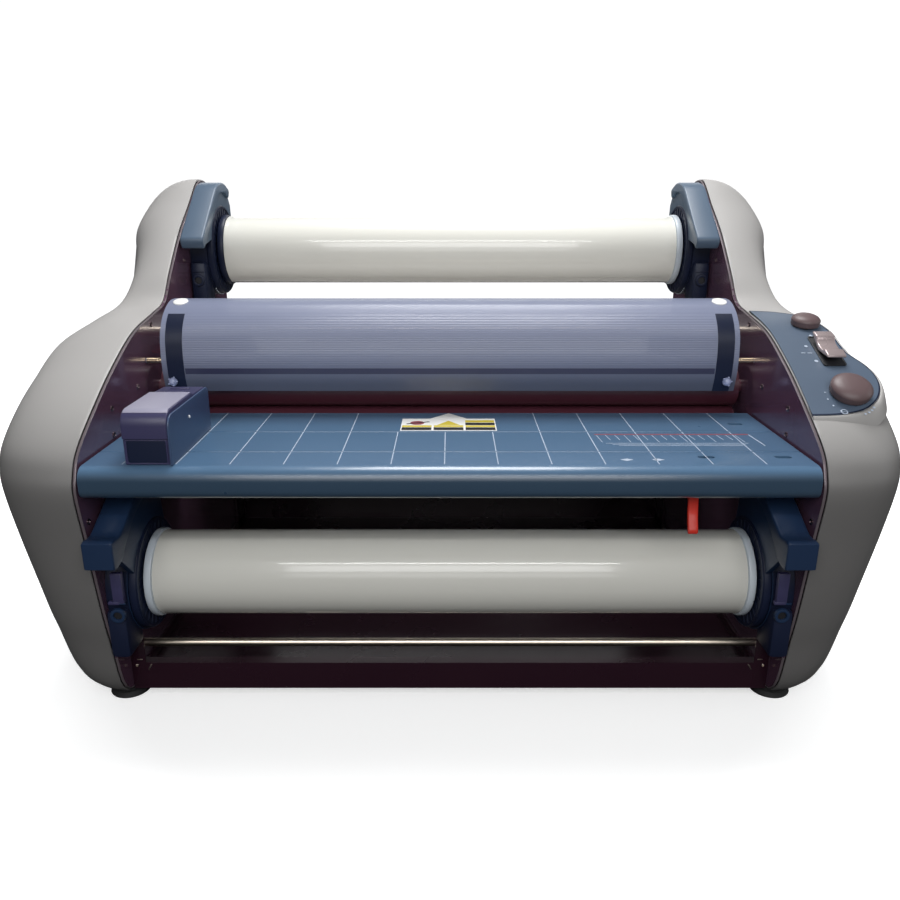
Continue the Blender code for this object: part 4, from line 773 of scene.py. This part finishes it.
def tray_print():
    """The white inch lines, a size scale and a plain feeding-direction sign. None of it is lettering."""
    z = TRAY_Z + 0.00005
    groove_half = 0.0012
    front, back = TRAY_FRONT_Y + 0.016, TRAY_BACK_Y - 0.002
    breaks = [front]
    for y in sorted(GROOVES):
        breaks += [y - groove_half, y + groove_half]
    breaks.append(back)
    sign = (-0.0540, 0.0508, TRAY_BACK_Y - 0.0750, TRAY_BACK_Y - 0.0020)
    bm = bmesh.new()
    for i in range(-6, 7):
        x = -0.0051 + LINE_PITCH * i
        for y0, y1 in zip(breaks[::2], breaks[1::2]):
            if sign[0] - 0.002 < x < sign[1] and y1 > sign[2]:
                y1 = sign[2] - 0.003
            if y1 > y0:
                add_print(bm, strip(x, y0, x, y1, 0.0009), z)
    scale_y = GROOVES[0] - 0.0102
    fine, ticks, tick_pitch = 0.0006, 16, 0.0098
    for i in range(ticks):
        x = 0.155 + tick_pitch * i
        reach = 0.020 if i % 3 else 0.028
        add_print(bm, strip(x, scale_y - 0.003, x + 0.002, scale_y - reach, fine), z)
    for i in range(3):
        y = scale_y - 0.032 - 0.004 * i
        add_print(bm, strip(0.160 + 0.006 * i, y, 0.306 - 0.004 * i, y, fine), z)
    add_print(bm, strip(0.317, scale_y, 0.320, scale_y - 0.041, 0.0010), z)
    y = front + 0.014
    for x in (0.170, 0.200):  # two small arrows
        add_print(bm, [(x - 0.006, y), (x + 0.001, y + 0.003), (x + 0.006, y - 0.001),
                       (x - 0.001, y - 0.004)], z)
    finish_piece("tray_lines", bm, PRINT_WHITE, "feed_tray")
    bm = bmesh.new()
    add_print(bm, strip(0.1532, scale_y, 0.317, scale_y, 0.0026), z)
    finish_piece("tray_scale", bm, PRINT_RED, "feed_tray")
    feed_sign(*sign, z)


def feed_sign(x0, x1, y0, y1, z):
    """A plain sign that shows which way the paper goes: a white arrow above three striped cells."""
    border, layer = 0.0012, 0.00004
    white, yellow, black, red = bmesh.new(), bmesh.new(), bmesh.new(), bmesh.new()
    third = (x1 - x0) / 3
    middle_x = (x0 + x1) / 2
    add_print(white, rectangle(x0, y0, x1, y1 - 0.024), z)
    arrow_half = third * 0.62
    arrow = [(middle_x - arrow_half, y1 - 0.025), (middle_x + arrow_half, y1 - 0.025), (middle_x, y1)]
    add_print(white, arrow, z + layer / 2)
    for left in (x0, x0 + third, x0 + 2 * third):
        a, b = left + border, left + third - border
        add_print(black, rectangle(a, y0 + 0.002, b, y0 + 0.013), z + layer)
        add_print(yellow, rectangle(a, y0 + 0.014, b, y0 + 0.021), z + layer)
    a, b = x0 + 2 * third + border, x1 - border
    add_print(black, rectangle(a, y0 + 0.022, b, y0 + 0.032), z + layer)
    add_print(yellow, rectangle(a, y0 + 0.033, b, y0 + 0.042), z + layer)
    triangle = [(middle_x - 0.013, y0 + 0.022), (middle_x + 0.013, y0 + 0.022), (middle_x, y0 + 0.040)]
    add_print(yellow, triangle, z + 0.00007)
    add_print(red, circle((x0 + third * 0.5, y0 + 0.031), 0.008, 24), z + 0.00007)
    add_print(black, strip(x0 + 0.006, y0 + 0.027, x0 + third - 0.004, y0 + 0.036, 0.003), z + 0.00009)
    for name, bm, material in (("white", white, LABEL_WHITE), ("yellow", yellow, PRINT_YELLOW),
                               ("black", black, BLACK), ("red", red, PRINT_RED)):
        finish_piece(f"feed_sign_{name}", bm, material, "feed_tray")


def tray_latch():
    """The glossy red catch, with a soft edge and a finger pad, drawn round its pivot."""
    pivot = (FRONT_Y + 0.032, TRAY_Z - 0.012)
    x = middle("tray_latch").x
    front = [(-0.006, 0.006), (-0.0045, -0.020), (-0.0075, -0.042), (-0.013, -0.058)]
    back = [(-0.009, -0.060), (-0.003, -0.044), (0.001, -0.022), (0.006, 0.000), (0.004, 0.007)]
    loop = [(pivot[0] + y, pivot[1] + z) for y, z in spline(front + back, 5)]
    bm = bmesh.new()
    add_extrusion(bm, [loop], x - 0.005, x + 0.005, 0.0015, None, 3)
    finish_piece("latch_catch", bm, RED, "tray_latch", ["tray_latch"])


# ---------------------------------------------------------------- side guide
def side_guide():
    """A moulded edge guide: a pale lid, a rolled front lip, a recessed front panel and a side fence."""
    g0, g1 = low("side_guide"), high("side_guide")
    x0, x1, y0, y1, z0, z1 = g0.x, g1.x, g0.y, g1.y, g0.z, g1.z
    kink = y0 + 0.079
    nose = 0.014
    shell = [(y1, z0), (y1, z1 - 0.007), (y1 - 0.003, z1 - 0.004), (kink + 0.003, z1 - 0.0022), (kink, z1)]
    shell += arc((y0 + nose, z1 - nose), nose, 90, 180, 10)
    shell += [(y0, z1 - 0.026), (y0 + 0.0022, z1 - 0.027), (y0 + 0.0022, z0)]
    bm = bmesh.new()
    add_extrusion(bm, [shell], x0, x1, 0.0016, None, 3)
    finish_piece("guide_body", bm, GUIDE_BLUE, "side_guide", ["side_guide"])
    lid = bmesh.new()
    top = [(kink - 0.0006, z1 - 0.001), (kink - 0.0006, z1 + 0.0004)]
    top += arc((y0 + nose, z1 - nose + 0.0004), nose, 90, 125, 8)
    top += arc((y0 + nose, z1 - nose), nose - 0.001, 125, 90, 8)
    add_extrusion(lid, [top], x0 + 0.0012, x1 - 0.0012, 0.0003)
    finish_piece("guide_lid", lid, LID_LAVENDER, "side_guide")
    panel = bmesh.new()
    outer = rectangle(x0 + 0.0022, z0 + 0.0006, x1 - 0.0022, z1 - 0.0275)
    inner = rectangle(x0 + 0.0034, z0 + 0.0018, x1 - 0.0034, z1 - 0.0282)
    add_extrusion(panel, [rounded(outer, 0.0008), rounded(inner, 0.0016)], y0 + 0.0012, y0 + 0.0030, 0.0003,
                  FACING_FRONT)
    finish_piece("guide_panel_frame", panel, GUIDE_BLUE, "side_guide")
    back = bmesh.new()
    add_extrusion(back, [rounded(inner, 0.0016)], y0 + 0.0018, y0 + 0.0024, 0.0001, FACING_FRONT)
    finish_piece("guide_panel", back, NAVY, "side_guide")
    f0, f1 = low("guide_fence"), high("guide_fence")
    fence = [(f0.y, f0.z), (f1.y, f0.z)] + arc((f1.y - 0.006, f1.z - 0.006), 0.006, 0, 90, 6)
    fence += arc((f0.y + 0.012, f1.z - 0.012), 0.012, 90, 180, 10)
    bm = bmesh.new()
    add_extrusion(bm, [fence], f0.x, f1.x, 0.0006, None, 3)
    finish_piece("fence_plate", bm, FENCE_BLUE, "side_guide", ["guide_fence"])
    bm = bmesh.new()
    add_turned(bm, [(0.0008, 0), (0.0008, 0.0012), (0, 0.0017), (-0.0003, 0.0017), (-0.0003, 0)],
               placed((f1.x, f0.y + 0.060, f1.z - 0.016), pi / 2, "Y"), 16)
    finish_piece("fence_pin", bm, LABEL_WHITE, "side_guide")
    bm = bmesh.new()
    for y in (y0 + 0.094, y0 + 0.110):
        add_block(bm, (x0 + 0.012, y - 0.003, z1 - 0.0040), (x1 - 0.012, y + 0.003, z1 - 0.0022), 0.0008)
    finish_piece("guide_clamp_ribs", bm, GUIDE_BLUE, "side_guide")


# ---------------------------------------------------------------- hub brackets, levers and rolls
HOODS = {
    "upper": [(170.2, 0.0496), (103.6, 0.0275), (82.6, 0.0308), (62.6, 0.0292), (62.1, 0.0149),
              (82.7, 0.0166), (102.4, 0.0127), (172.7, 0.0328), (176.6, 0.0402)],
    "lower": [(143.4, 0.0688), (136.8, 0.0533), (123.7, 0.0462), (106.2, 0.0453), (86.8, 0.0442),
              (69.2, 0.0396), (70.1, 0.0263), (87.5, 0.0311), (106.3, 0.0307), (123.7, 0.0317),
              (140.0, 0.0345), (148.8, 0.0385), (153.7, 0.0552)],
}
WEBS = {
    "upper": [(174.1, 0.0355), (103.3, 0.0200), (81.7, 0.0240), (64.0, 0.0230), (50.0, 0.0160),
              (38.0, 0.0040)],
    "lower": [(147.5, 0.0423), (125.3, 0.0384), (106.4, 0.0370), (87.1, 0.0371), (69.4, 0.0320)],
}
LEVER_RING_R, LEVER_BORE, LEVER_T = 0.060, 0.028, 0.008


def around(center, polar):
    """Points given as (angle in degrees, rise above the hub bracket's rim), as (y, z)."""
    return [
        (center.y + (HUB_R + rise) * cos(radians(angle)), center.z + (HUB_R + rise) * sin(radians(angle)))
        for angle, rise in polar
    ]


def flip(side, x0, x1):
    """Two distances from the middle as the lower and the higher X on one side."""
    return (x0, x1) if side > 0 else (-x1, -x0)


def hub_lever(place, name, side):
    """The locking lever: a ribbed ring, a web and a broad soft-edged hood with a rolled lip."""
    center = ROLLS[place]
    yz = (center.y, center.z)
    ring_in = LEVER_LOW + 0.002
    bm = bmesh.new()
    ring_x = flip(side, ring_in, ring_in + LEVER_T)
    add_extrusion(bm, [circle(yz, LEVER_RING_R, 72), circle(yz, LEVER_BORE, 48)], *ring_x, 0.0010)
    finish_piece(f"{place}_lever_{name}_ring", bm, NAVY, f"{place}_lever_{name}",
                 [f"{place}_hub_lever_{name}"])
    bm = bmesh.new()
    web = around(center, WEBS[place]) + arc(yz, LEVER_RING_R - LEVER_T, 36, 160, 16)
    add_extrusion(bm, [web], *flip(side, ring_in + 0.001, ring_in + LEVER_T - 0.001), 0.0006)
    reach = low(f"{place}_hub_lever_{name}").y
    hood = rounded(around(center, HOODS[place]), 0.014, 6)
    if place == "lower":
        hood = [(max(y, reach), z) for y, z in spline(around(center, HOODS[place]), 4)]
    add_extrusion(bm, [hood], *flip(side, LEVER_LOW, LEVER_HIGH), 0.0022, None, 3)
    # The lower levers take deep_blue, darker than lever_blue: painted shade, as they sit under the tray.
    finish_piece(f"{place}_lever_{name}_shell", bm, LEVER_BLUE if place == "upper" else DEEP_BLUE,
                 f"{place}_lever_{name}", [f"{place}_hub_lever_{name}"])
    bm = bmesh.new()
    face = side * (ring_in - 0.0002)
    for angle in range(20, 380, 12):  # radial ribs on the ring's face towards the roll
        turn = placed((face, *yz), radians(angle))
        add_block(bm, (-0.0007, LEVER_BORE + 0.004, -0.0008), (0.0007, LEVER_RING_R - 0.004, 0.0008),
                  0.0004, turn, 1)
    for radius in (LEVER_BORE + 0.0022, LEVER_RING_R - 0.0026):
        ring = ring_section(-0.0008, 0.0008, radius - 0.0012, radius + 0.0012)
        add_turned(bm, ring, placed((face, *yz), pi / 2, "Y"), 72)
    finish_piece(f"{place}_lever_{name}_ribs", bm, NAVY, f"{place}_lever_{name}")


def hub_bracket_details(place, name, side):
    """On the hub bracket: a raised rim, a bored boss in front with a black disc of painted shade in its
    bore, and a stop post or a row of teeth.
    """
    center = ROLLS[place]
    is_lower = place == "lower"
    lug = low(f"{place}_hub_bracket_{name}")
    bm = bmesh.new()
    rim = ring_section(-0.0001, 0.0006, HUB_R - 0.0012, HUB_R - 0.0001)
    add_turned(bm, rim, placed((side * HUB_IN, center.y, center.z), -side * pi / 2, "Y"), 72)
    boss_x = side * ((HUB_IN + INSIDE) / 2 - (0.0030 if is_lower else 0))
    boss_z = lug.z + 0.051 if is_lower else center.z - HUB_R + 0.026
    forward = placed((boss_x, lug.y, boss_z), pi / 2)
    boss = [(0.0006, 0.0080), (0.0030, 0.0075), (0.0034, 0.0062), (0.0030, 0.0046), (0.0002, 0.0044),
            (0.0002, 0.0080)]
    add_turned(bm, boss, forward, 32)
    ridge_z = boss_z + (0.0120 if is_lower else 0.0105)
    add_block(bm, (boss_x - 0.0085, lug.y - 0.0012, ridge_z),
              (boss_x + 0.0085, lug.y + 0.0008, ridge_z + 0.0014), 0.0004)
    finish_piece(f"{place}_hub_boss_{name}", bm, DEEP_BLUE if is_lower else NAVY, "chassis")
    # A black disc in the bore: painted shade for the dark inside of the hole.
    bm = bmesh.new()
    add_turned(bm, disc_section(0.0001, 0.0012, 0.0042), forward, 24)
    finish_piece(f"{place}_hub_bore_shade_{name}", bm, BLACK, "chassis")
    bm = bmesh.new()
    if is_lower:
        post_x, post_half = side * (HUB_IN + 0.0062), 0.0056
        add_block(bm, (post_x - post_half, lug.y - 0.0010, boss_z + 0.012),
                  (post_x + post_half, lug.y + 0.006, boss_z + 0.046), 0.0012)
        add_block(bm, (boss_x - 0.009, lug.y - 0.0014, boss_z + 0.0115),
                  (boss_x + 0.003, lug.y + 0.004, boss_z + 0.0150), 0.0010)
        finish_piece(f"lower_hub_post_{name}", bm, GUIDE_BLUE, "chassis")
        return
    for i in range(9):
        tooth = placed((side * (HUB_IN - 0.0008), center.y, center.z), radians(236 + 5.5 * i))
        add_block(bm, (-0.0008, HUB_R - 0.0015, -0.0010), (0.0008, HUB_R - 0.0001, 0.0010),
                  0.0003, tooth, 1)
    finish_piece(f"upper_hub_teeth_{name}", bm, CAP, "chassis")


def film_roll(place):
    """The wound film with softly rounded ends and a few proud windings, and an end cap on each side."""
    center = ROLLS[place]
    half, inner, soft = FILM_HALF, high(f"{place}_core").z - center.z + 0.0003, 0.0008
    bm = bmesh.new()
    corner = [(0, -soft), (-0.3 * soft, -0.3 * soft), (-soft, 0)]
    end = [(half + along, FILM_R + out) for along, out in corner]
    profile = [(half, inner), *end, *[(-x, radius) for x, radius in reversed(end)], (-half, inner)]
    add_turned(bm, profile, about_x(center), 128)
    for i in range(4):  # windings that stand a hair proud, near each end
        for side in SIDES.values():
            x = side * (half - 0.0011 - 0.0012 * i)
            winding = [(x + 0.0003, FILM_R - 0.0001), (x, FILM_R + 0.00008), (x - 0.0003, FILM_R - 0.0001)]
            add_turned(bm, winding, about_x(center), 96)
    finish_piece(f"{place}_film_winding", bm, FILM, f"{place}_film_roll", [f"{place}_film"])
    for name, side in SIDES.items():
        end_cap(place, name, side, inner - 0.0023)


def end_cap(place, name, side, plug_r):
    """A cap with a plug in the core, a flange with a rolled rim and ribs, and a spigot out to the hub."""
    center = ROLLS[place]
    r, ribs, spigot, tip = FLANGE_R, 8, 0.012, INSIDE - 0.004
    seat = FILM_HALF + 0.0003
    face, plug_end = seat + 0.0080, FILM_HALF - 0.022
    profile = [
        (tip, 0), (tip, spigot - 0.0012), (tip - 0.0012, spigot), (face + 0.001, spigot), (face, 0.015),
        (face - 0.0015, 0.017), (face - 0.0015, r - 0.006), (face, r - 0.0045), (face, r - 0.0020),
        (face - 0.0006, r - 0.0007), (face - 0.002, r), (seat + 0.0012, r), (seat + 0.0004, r - 0.0003),
        (seat, r - 0.0010), (seat, plug_r), (plug_end + 0.002, plug_r), (plug_end, plug_r - 0.002),
        (plug_end, 0),
    ]
    bm = bmesh.new()
    add_turned(bm, [(side * x, radius) for x, radius in profile], about_x(center), 96)
    for i in range(ribs):
        rib = placed((side * (face - 0.0012), center.y, center.z), 2 * pi * i / ribs)
        add_block(bm, (-0.0009, 0.016, -0.0009), (0.0009, r - 0.005, 0.0009), 0.0003, rib, 1)
    material = NAVY if (place, name) == ("upper", "left") else CAP
    finish_piece(f"{place}_cap_{name}", bm, material, f"{place}_film_roll",
                 [f"{place}_end_cap_{name}"])


# ---------------------------------------------------------------- safety shield
def shield_section(depth, ribs):
    """The shield's section about its hinge: upright in front, with fine ribs across, then curving back."""
    line = [(-0.008, -0.034), (-0.013, -0.018), (-0.015, 0.0), (-0.0145, 0.014), (-0.012, 0.028),
            (-0.005, 0.041), (0.006, 0.052), (0.020, 0.060), (0.036, 0.0645), (0.052, 0.065)]
    points = spline(line, 14, closed=False)
    ribbed_from, ribbed_to, rib_depth = -0.004, 0.0605, 0.00022
    made = []
    for i, (y, z) in enumerate(points):
        before, after = points[max(i - 1, 0)], points[min(i + 1, len(points) - 1)]
        along = Vector((after[0] - before[0], after[1] - before[1])).normalized()
        push = depth
        if ribs and ribbed_from < z < ribbed_to:
            push += rib_depth * (i % 2)
        made.append((y + along.y * push, z - along.x * push))
    return made


def safety_shield():
    """The tinted shield with its ribbed face, a dark band of painted shade across it near its foot, and the
    fittings at each end.
    """
    move = Matrix.Translation((0, *pin_axis()))
    bm = bmesh.new()
    loop = shield_section(0.0, True) + shield_section(0.003, False)[::-1]
    add_extrusion(bm, [loop], -SHIELD_HALF + 0.0001, SHIELD_HALF - 0.0001, 0.0, move)
    finish_piece("shield_panel", bm, CLEAR, "safety_shield", ["safety_shield"], angle=20)
    # A dark band across the shield near its foot: painted shade.
    groove_low, groove_high, groove_half = -0.0130, -0.0060, SHIELD_HALF - 0.026
    groove, floor = ([(y, z) for y, z in shield_section(depth, False) if groove_low < z < groove_high]
                     for depth in (-0.0002, 0.0004))
    bm = bmesh.new()
    add_extrusion(bm, [groove + floor[::-1]], -groove_half, groove_half, 0.0, move)
    finish_piece("shield_shade_band", bm, SHIELD_SHADE_BAND, "safety_shield")
    for name, side in SIDES.items():
        shield_end(name, side, move)


def shield_end(name, side, move):
    """At one end of the shield: a dark strip, a cap disc, a thumb screw with wings, and the hinge pin."""
    y, z = pin_axis()
    upright, wings = 86, 5  # the strip covers this many points of the section, from its foot
    front, back = (shield_section(depth, False)[:upright] for depth in (-0.0003, 0.0002))
    bm = bmesh.new()
    strip_x = flip(side, SHIELD_HALF - 0.0250, SHIELD_HALF - 0.0060)
    add_extrusion(bm, [front + back[::-1]], *strip_x, 0.0, move)
    finish_piece(f"shield_strip_{name}", bm, NAVY, "safety_shield")
    bm = bmesh.new()
    disc = [(0.0016, 0), (0.0016, 0.0072), (0.0010, 0.0084), (0.0, 0.0086), (-0.0020, 0.0086), (-0.0020, 0)]
    add_turned(bm, disc, placed((side * (SHIELD_HALF - 0.0140), y + 0.0300, z + 0.0633), radians(18)), 32)
    finish_piece(f"shield_disc_{name}", bm, LABEL_WHITE, "safety_shield")
    bm = bmesh.new()
    thumb = placed((side * (SHIELD_HALF - 0.0105), y - 0.0130, z - 0.0220), pi / 2 - 0.3)
    head = [(0.0050, 0), (0.0046, 0.0028), (0.0030, 0.0044), (0.0012, 0.0050), (-0.0010, 0.0050),
            (-0.0010, 0)]
    add_turned(bm, head, thumb, 24)
    for i in range(wings):
        wing = thumb @ Matrix.Rotation(2 * pi * i / wings, 4, "Z")
        add_block(bm, (0.0036, -0.0010, 0.0004), (0.0058, 0.0010, 0.0034), 0.0006, wing, 2)
    finish_piece(f"shield_thumb_screw_{name}", bm, THUMB_CLEAR, "safety_shield")
    bm = bmesh.new()
    pin_r, chamfer = 0.0033, 0.0005
    x0, x1 = flip(side, SHIELD_HALF - 0.014, HALF - 0.0002)
    profile = [(x1, 0), (x1, pin_r), (x0 + chamfer, pin_r), (x0, pin_r - 0.0006), (x0, 0)]
    add_turned(bm, profile, placed((0, y, z), pi / 2, "Y"), 24)
    finish_piece(f"shield_pin_{name}", bm, PIN_BRASS, "safety_shield")


def pin_axis():
    return (low("safety_shield").y + 0.0150, low("shield_bracket_right").z + 0.034)


# ---------------------------------------------------------------- base, feet and rear
def base_details():
    """Bright steel tabs at the front of the base pan, a painted highlight for the glints on its lances and
    slots, a small screw by each, and the folded edges of the chassis at each end.
    """
    pan, rear, top = low("base_pan"), high("base_pan").y, high("base_pan").z
    bm = bmesh.new()
    for side in (-1, 1):
        x = side * 0.340
        add_block(bm, (x - 0.0030, pan.y - 0.0008, top + 0.0040),
                  (x + 0.0030, pan.y + 0.0002, top + 0.0050), 0.0002)
        lean = placed((x - side * 0.0104, pan.y, top - 0.0048), -side * 0.55, "Y")
        add_block(bm, (-0.0006, -0.0008, -0.0038), (0.0006, 0.0002, 0.0038), 0.0003, lean)
        add_screw(bm, placed((x + side * 0.0040, pan.y - 0.0002, top - 0.003), pi / 2), 0.0016, 0.0010)
    # The tabs' bright steel is painted highlight for their glints on the plum pan.
    finish_piece("pan_front_details", bm, STEEL, "chassis")
    bm = bmesh.new()
    floor, back, soft = BASE_Z + 0.0019, rear - 0.0024, 0.0005
    panel_top, hood_low = high("rear_panel").z, low("rear_cover").z
    for side in (-1, 1):
        edge = flip(side, INSIDE - 0.0030, INSIDE + 0.0002)
        fold = flip(side, INSIDE - 0.0160, INSIDE)
        corner = flip(side, INSIDE - 0.0400, INSIDE + 0.0002)
        for (x0, x1), y0, y1, z0, z1 in (
                (edge, pan.y + 0.0022, back, floor, BASE_Z + 0.0135),
                (edge, rear - 0.047, back, floor, BASE_Z + 0.062),
                (fold, pan.y - 0.0002, pan.y + 0.0016, BASE_Z + 0.002, BASE_Z + 0.063),
                (corner, rear - 0.0170, rear - 0.0148, panel_top - 0.0060, hood_low + 0.0200)):
            add_block(bm, (x0, y0, z0), (x1, y1, z1), soft)
    # pan_plum here is painted shade on the folded plum steel
    finish_piece("chassis_returns", bm, PAN_PLUM, "chassis")


def foot(label):
    """A moulded rubber foot: a flared skirt with rings, and a recess in its underside."""
    lowest, highest = low(label), high(label)
    place = Matrix.Translation(((lowest.x + highest.x) / 2, (lowest.y + highest.y) / 2, 0))
    r = (highest.x - lowest.x) / 2
    h = highest.z
    profile = [(h, 0), (h, r * 0.80), (h - 0.001, r * 0.86), (h * 0.62, r * 0.88), (h * 0.58, r * 0.93),
               (h * 0.50, r * 0.93), (h * 0.46, r * 0.90), (h * 0.34, r * 0.93), (h * 0.16, r * 0.985),
               (0.0012, r), (0.0002, r * 0.975), (0, r * 0.90), (0, r * 0.40), (0.004, r * 0.34),
               (0.004, 0)]
    bm = bmesh.new()
    add_turned(bm, profile, place, 48)
    finish_piece(f"{label}_rubber", bm, RUBBER, "chassis", [label])


def rear_details():
    """Screws, the fan's wire guard, the inlet's pins and the rear cover's ribs."""
    panel_y = high("rear_panel").y
    fan0, fan1 = low("fan_frame"), high("fan_frame")
    centre = Vector(((fan0.x + fan1.x) / 2, panel_y, (fan0.z + fan1.z) / 2))
    outward = Matrix.Rotation(-pi / 2, 4, "X")
    bm = bmesh.new()
    spots = [(x, z) for x in (-0.335, -0.115, 0.225, 0.335) for z in (0.030, 0.245)]
    spots += [(centre.x + dx, centre.z + dz) for dx in (-0.0525, 0.0525) for dz in (-0.0555, 0.0555)]
    for x, z in spots:
        add_screw(bm, Matrix.Translation((x, panel_y, z)) @ outward)
    finish_piece("rear_screws", bm, STEEL, "chassis")
    bm = bmesh.new()
    for radius in (0.012, 0.022, 0.032, 0.042, 0.050):
        add_ring(bm, centre + Vector((0, 0.0016, 0)), radius, 0.0008)
    for angle in (0.25 * pi, 0.75 * pi):
        turn = placed(centre + Vector((0, 0.0022, 0)), angle, "Y")
        add_block(bm, (-0.052, -0.0006, -0.0008), (0.052, 0.0006, 0.0008), 0.0004, turn)
    finish_piece("fan_guard", bm, STEEL, "chassis")
    inlet0, inlet1 = low("power_inlet"), high("power_inlet")
    bm = bmesh.new()
    mid = (inlet0 + inlet1) / 2
    for dx, dz in ((-0.008, -0.003), (0.008, -0.003), (0.0, 0.005)):
        add_block(bm, (mid.x + dx - 0.0010, inlet1.y - 0.0010, mid.z + dz - 0.0028),
                  (mid.x + dx + 0.0010, inlet1.y, mid.z + dz + 0.0028), 0.0003)
    finish_piece("inlet_pins", bm, STEEL, "chassis")
    hood0, hood1 = low("rear_cover"), high("rear_cover")
    bm = bmesh.new()
    for i in range(9):
        y = hood0.y + 0.030 + i * 0.011
        for x0, x1 in ((-0.300, -0.110), (-0.095, 0.095), (0.110, 0.300)):
            add_block(bm, (x0, y, hood1.z - 0.0004), (x1, y + 0.0042, hood1.z + 0.0008), 0.0006)
    finish_piece("rear_cover_ribs", bm, COVER_GREY, "chassis")


def add_ring(bm, centre, radius, wire):
    """Adds a wire ring that stands upright, facing the rear."""
    profile = [(wire * sin(a), radius + wire * cos(a)) for a in [2 * pi * i / 8 for i in range(8)]]
    add_turned(bm, profile, placed(centre, pi / 2), 48)


# ---------------------------------------------------------------- stage
def softbox(name, size, place, target, power):
    """A rectangular light that faces its target."""
    light = bpy.data.lights.new(name, "AREA")
    light.shape = "RECTANGLE"
    light.size, light.size_y = size
    light.energy = power
    lamp = bpy.data.objects.new(name, light)
    bpy.context.scene.collection.objects.link(lamp)
    lamp.location = place
    lamp.rotation_euler = (Vector(target) - Vector(place)).to_track_quat("-Z", "Y").to_euler()


def camera_only(tree, seen, unseen):
    """Mixes two shaders: what the camera sees straight on, and what the object and its reflections see."""
    path = node(tree, "ShaderNodeLightPath")
    mix = node(tree, "ShaderNodeMixShader")
    link(tree, path.outputs["Is Camera Ray"], mix.inputs[0])
    link(tree, unseen, mix.inputs[1])
    link(tree, seen, mix.inputs[2])
    return mix.outputs[0]


LIGHTS = (  # name, size, place, target, watts
    ("overhead", (1.0, 1.0), (0.08, 0.45, 2.1), (0.02, 0.10, 0.3), 38),
    ("front_strip", (2.4, 0.09), (0, -1.75, 1.75), (0, 0, 0.3), 10),
    ("front_middle", (2.0, 0.55), (0, -1.8, 1.15), (0, 0, 0.35), 13),
    ("front_low", (2.0, 0.35), (0, -2.0, 0.60), (0, 0, 0.38), 3),
    ("right_fill", (0.5, 1.2), (2.2, -0.4, 0.9), (0, 0, 0.3), 4),
    ("back_wall", (3.4, 1.0), (0, 2.7, 1.3), (0, 0, 0.3), 16),
)
FLOOR_SHIFT = 3  # the floor lies mostly behind the object
# SHADE paints a shadow on the floor: its glow is dimmer near the object's foot.
SHADE = {"From Min": 0.42, "From Max": 0.66, "To Min": 0.57, "To Max": 1.02}  # glow by distance, metres


def floor_material():
    """Pale where the camera sees it, with a painted shadow that darkens it towards the object's foot, and
    dim to all else.
    """
    pale = bpy.data.materials.new("floor_pale")
    pale.use_nodes = True
    tree = pale.node_tree
    tree.nodes.remove(tree.nodes["Principled BSDF"])
    lit = node(tree, "ShaderNodeBsdfDiffuse", Color=(0.72, 0.72, 0.72, 1))
    glow = node(tree, "ShaderNodeEmission")
    where = node(tree, "ShaderNodeTexCoord")
    away = node(tree, "ShaderNodeVectorMath", operation="DISTANCE")
    away.inputs[1].default_value = (0, -FLOOR_SHIFT, 0)  # the object, in the floor's own coordinates
    link(tree, where.outputs["Object"], away.inputs[0])
    rise = node(tree, "ShaderNodeMapRange")
    for socket, value in SHADE.items():
        rise.inputs[socket].default_value = value
    link(tree, away.outputs["Value"], rise.inputs["Value"])
    link(tree, rise.outputs["Result"], glow.inputs["Strength"])
    both = node(tree, "ShaderNodeAddShader")
    link(tree, lit.outputs[0], both.inputs[0])
    link(tree, glow.outputs[0], both.inputs[1])
    dim = node(tree, "ShaderNodeBsdfDiffuse", Color=(0.055, 0.055, 0.058, 1))
    link(tree, camera_only(tree, both.outputs[0], dim.outputs[0]), tree.nodes["Material Output"].inputs[0])
    return pale


def studio_world():
    """White where the camera sees it, and a faint cool light to all else."""
    world = bpy.data.worlds.new("studio")
    world.use_nodes = True
    tree = world.node_tree
    bright = node(tree, "ShaderNodeBackground", Color=(1, 1, 1, 1), Strength=1.05)
    room = node(tree, "ShaderNodeBackground", Color=(0.92, 0.96, 1.0, 1), Strength=0.13)
    link(tree, camera_only(tree, bright.outputs[0], room.outputs[0]), tree.nodes["World Output"].inputs[0])
    return world


def stage():
    """Pale floor, soft studio light from above and in front, and the camera."""
    scene = bpy.context.scene
    scene.view_settings.view_transform = "Standard"
    bpy.ops.mesh.primitive_plane_add(size=14, location=(0, FLOOR_SHIFT, 0))
    floor = bpy.context.object
    floor.name = "floor"
    floor.data.materials.append(floor_material())
    scene.world = studio_world()
    for light in LIGHTS:
        softbox(*light)
    lens = bpy.data.cameras.new("camera")
    lens.sensor_width = 36
    lens.lens = 32
    camera = bpy.data.objects.new("camera", lens)
    scene.collection.objects.link(camera)
    camera.location = (0, -0.980, 0.533)
    camera.rotation_euler = (radians(72.516), 0, 0)
    scene.camera = camera


def build():
    stage()
    finish_cad_nodes()
    for name, side in SIDES.items():
        side_cover(name, side)
        plate_details(name, side)
        for place in ROLLS:
            hub_lever(place, name, side)
            hub_bracket_details(place, name, side)
    control_pod()
    overlay_gap_shade()
    overlay_marks()
    knob("selector_disc", "film_selector_knob", 0.0125, 0.0155, 0.0023)
    knob("speed_disc", "speed_knob", 0.0150, 0.0203, 0.0042)
    run_rocker()
    feed_tray()
    tray_print()
    tray_latch()
    side_guide()
    for place in ROLLS:
        film_roll(place)
    safety_shield()
    base_details()
    for label in ("foot_front_left", "foot_front_right", "foot_rear_left", "foot_rear_right"):
        foot(label)
    rear_details()


build()
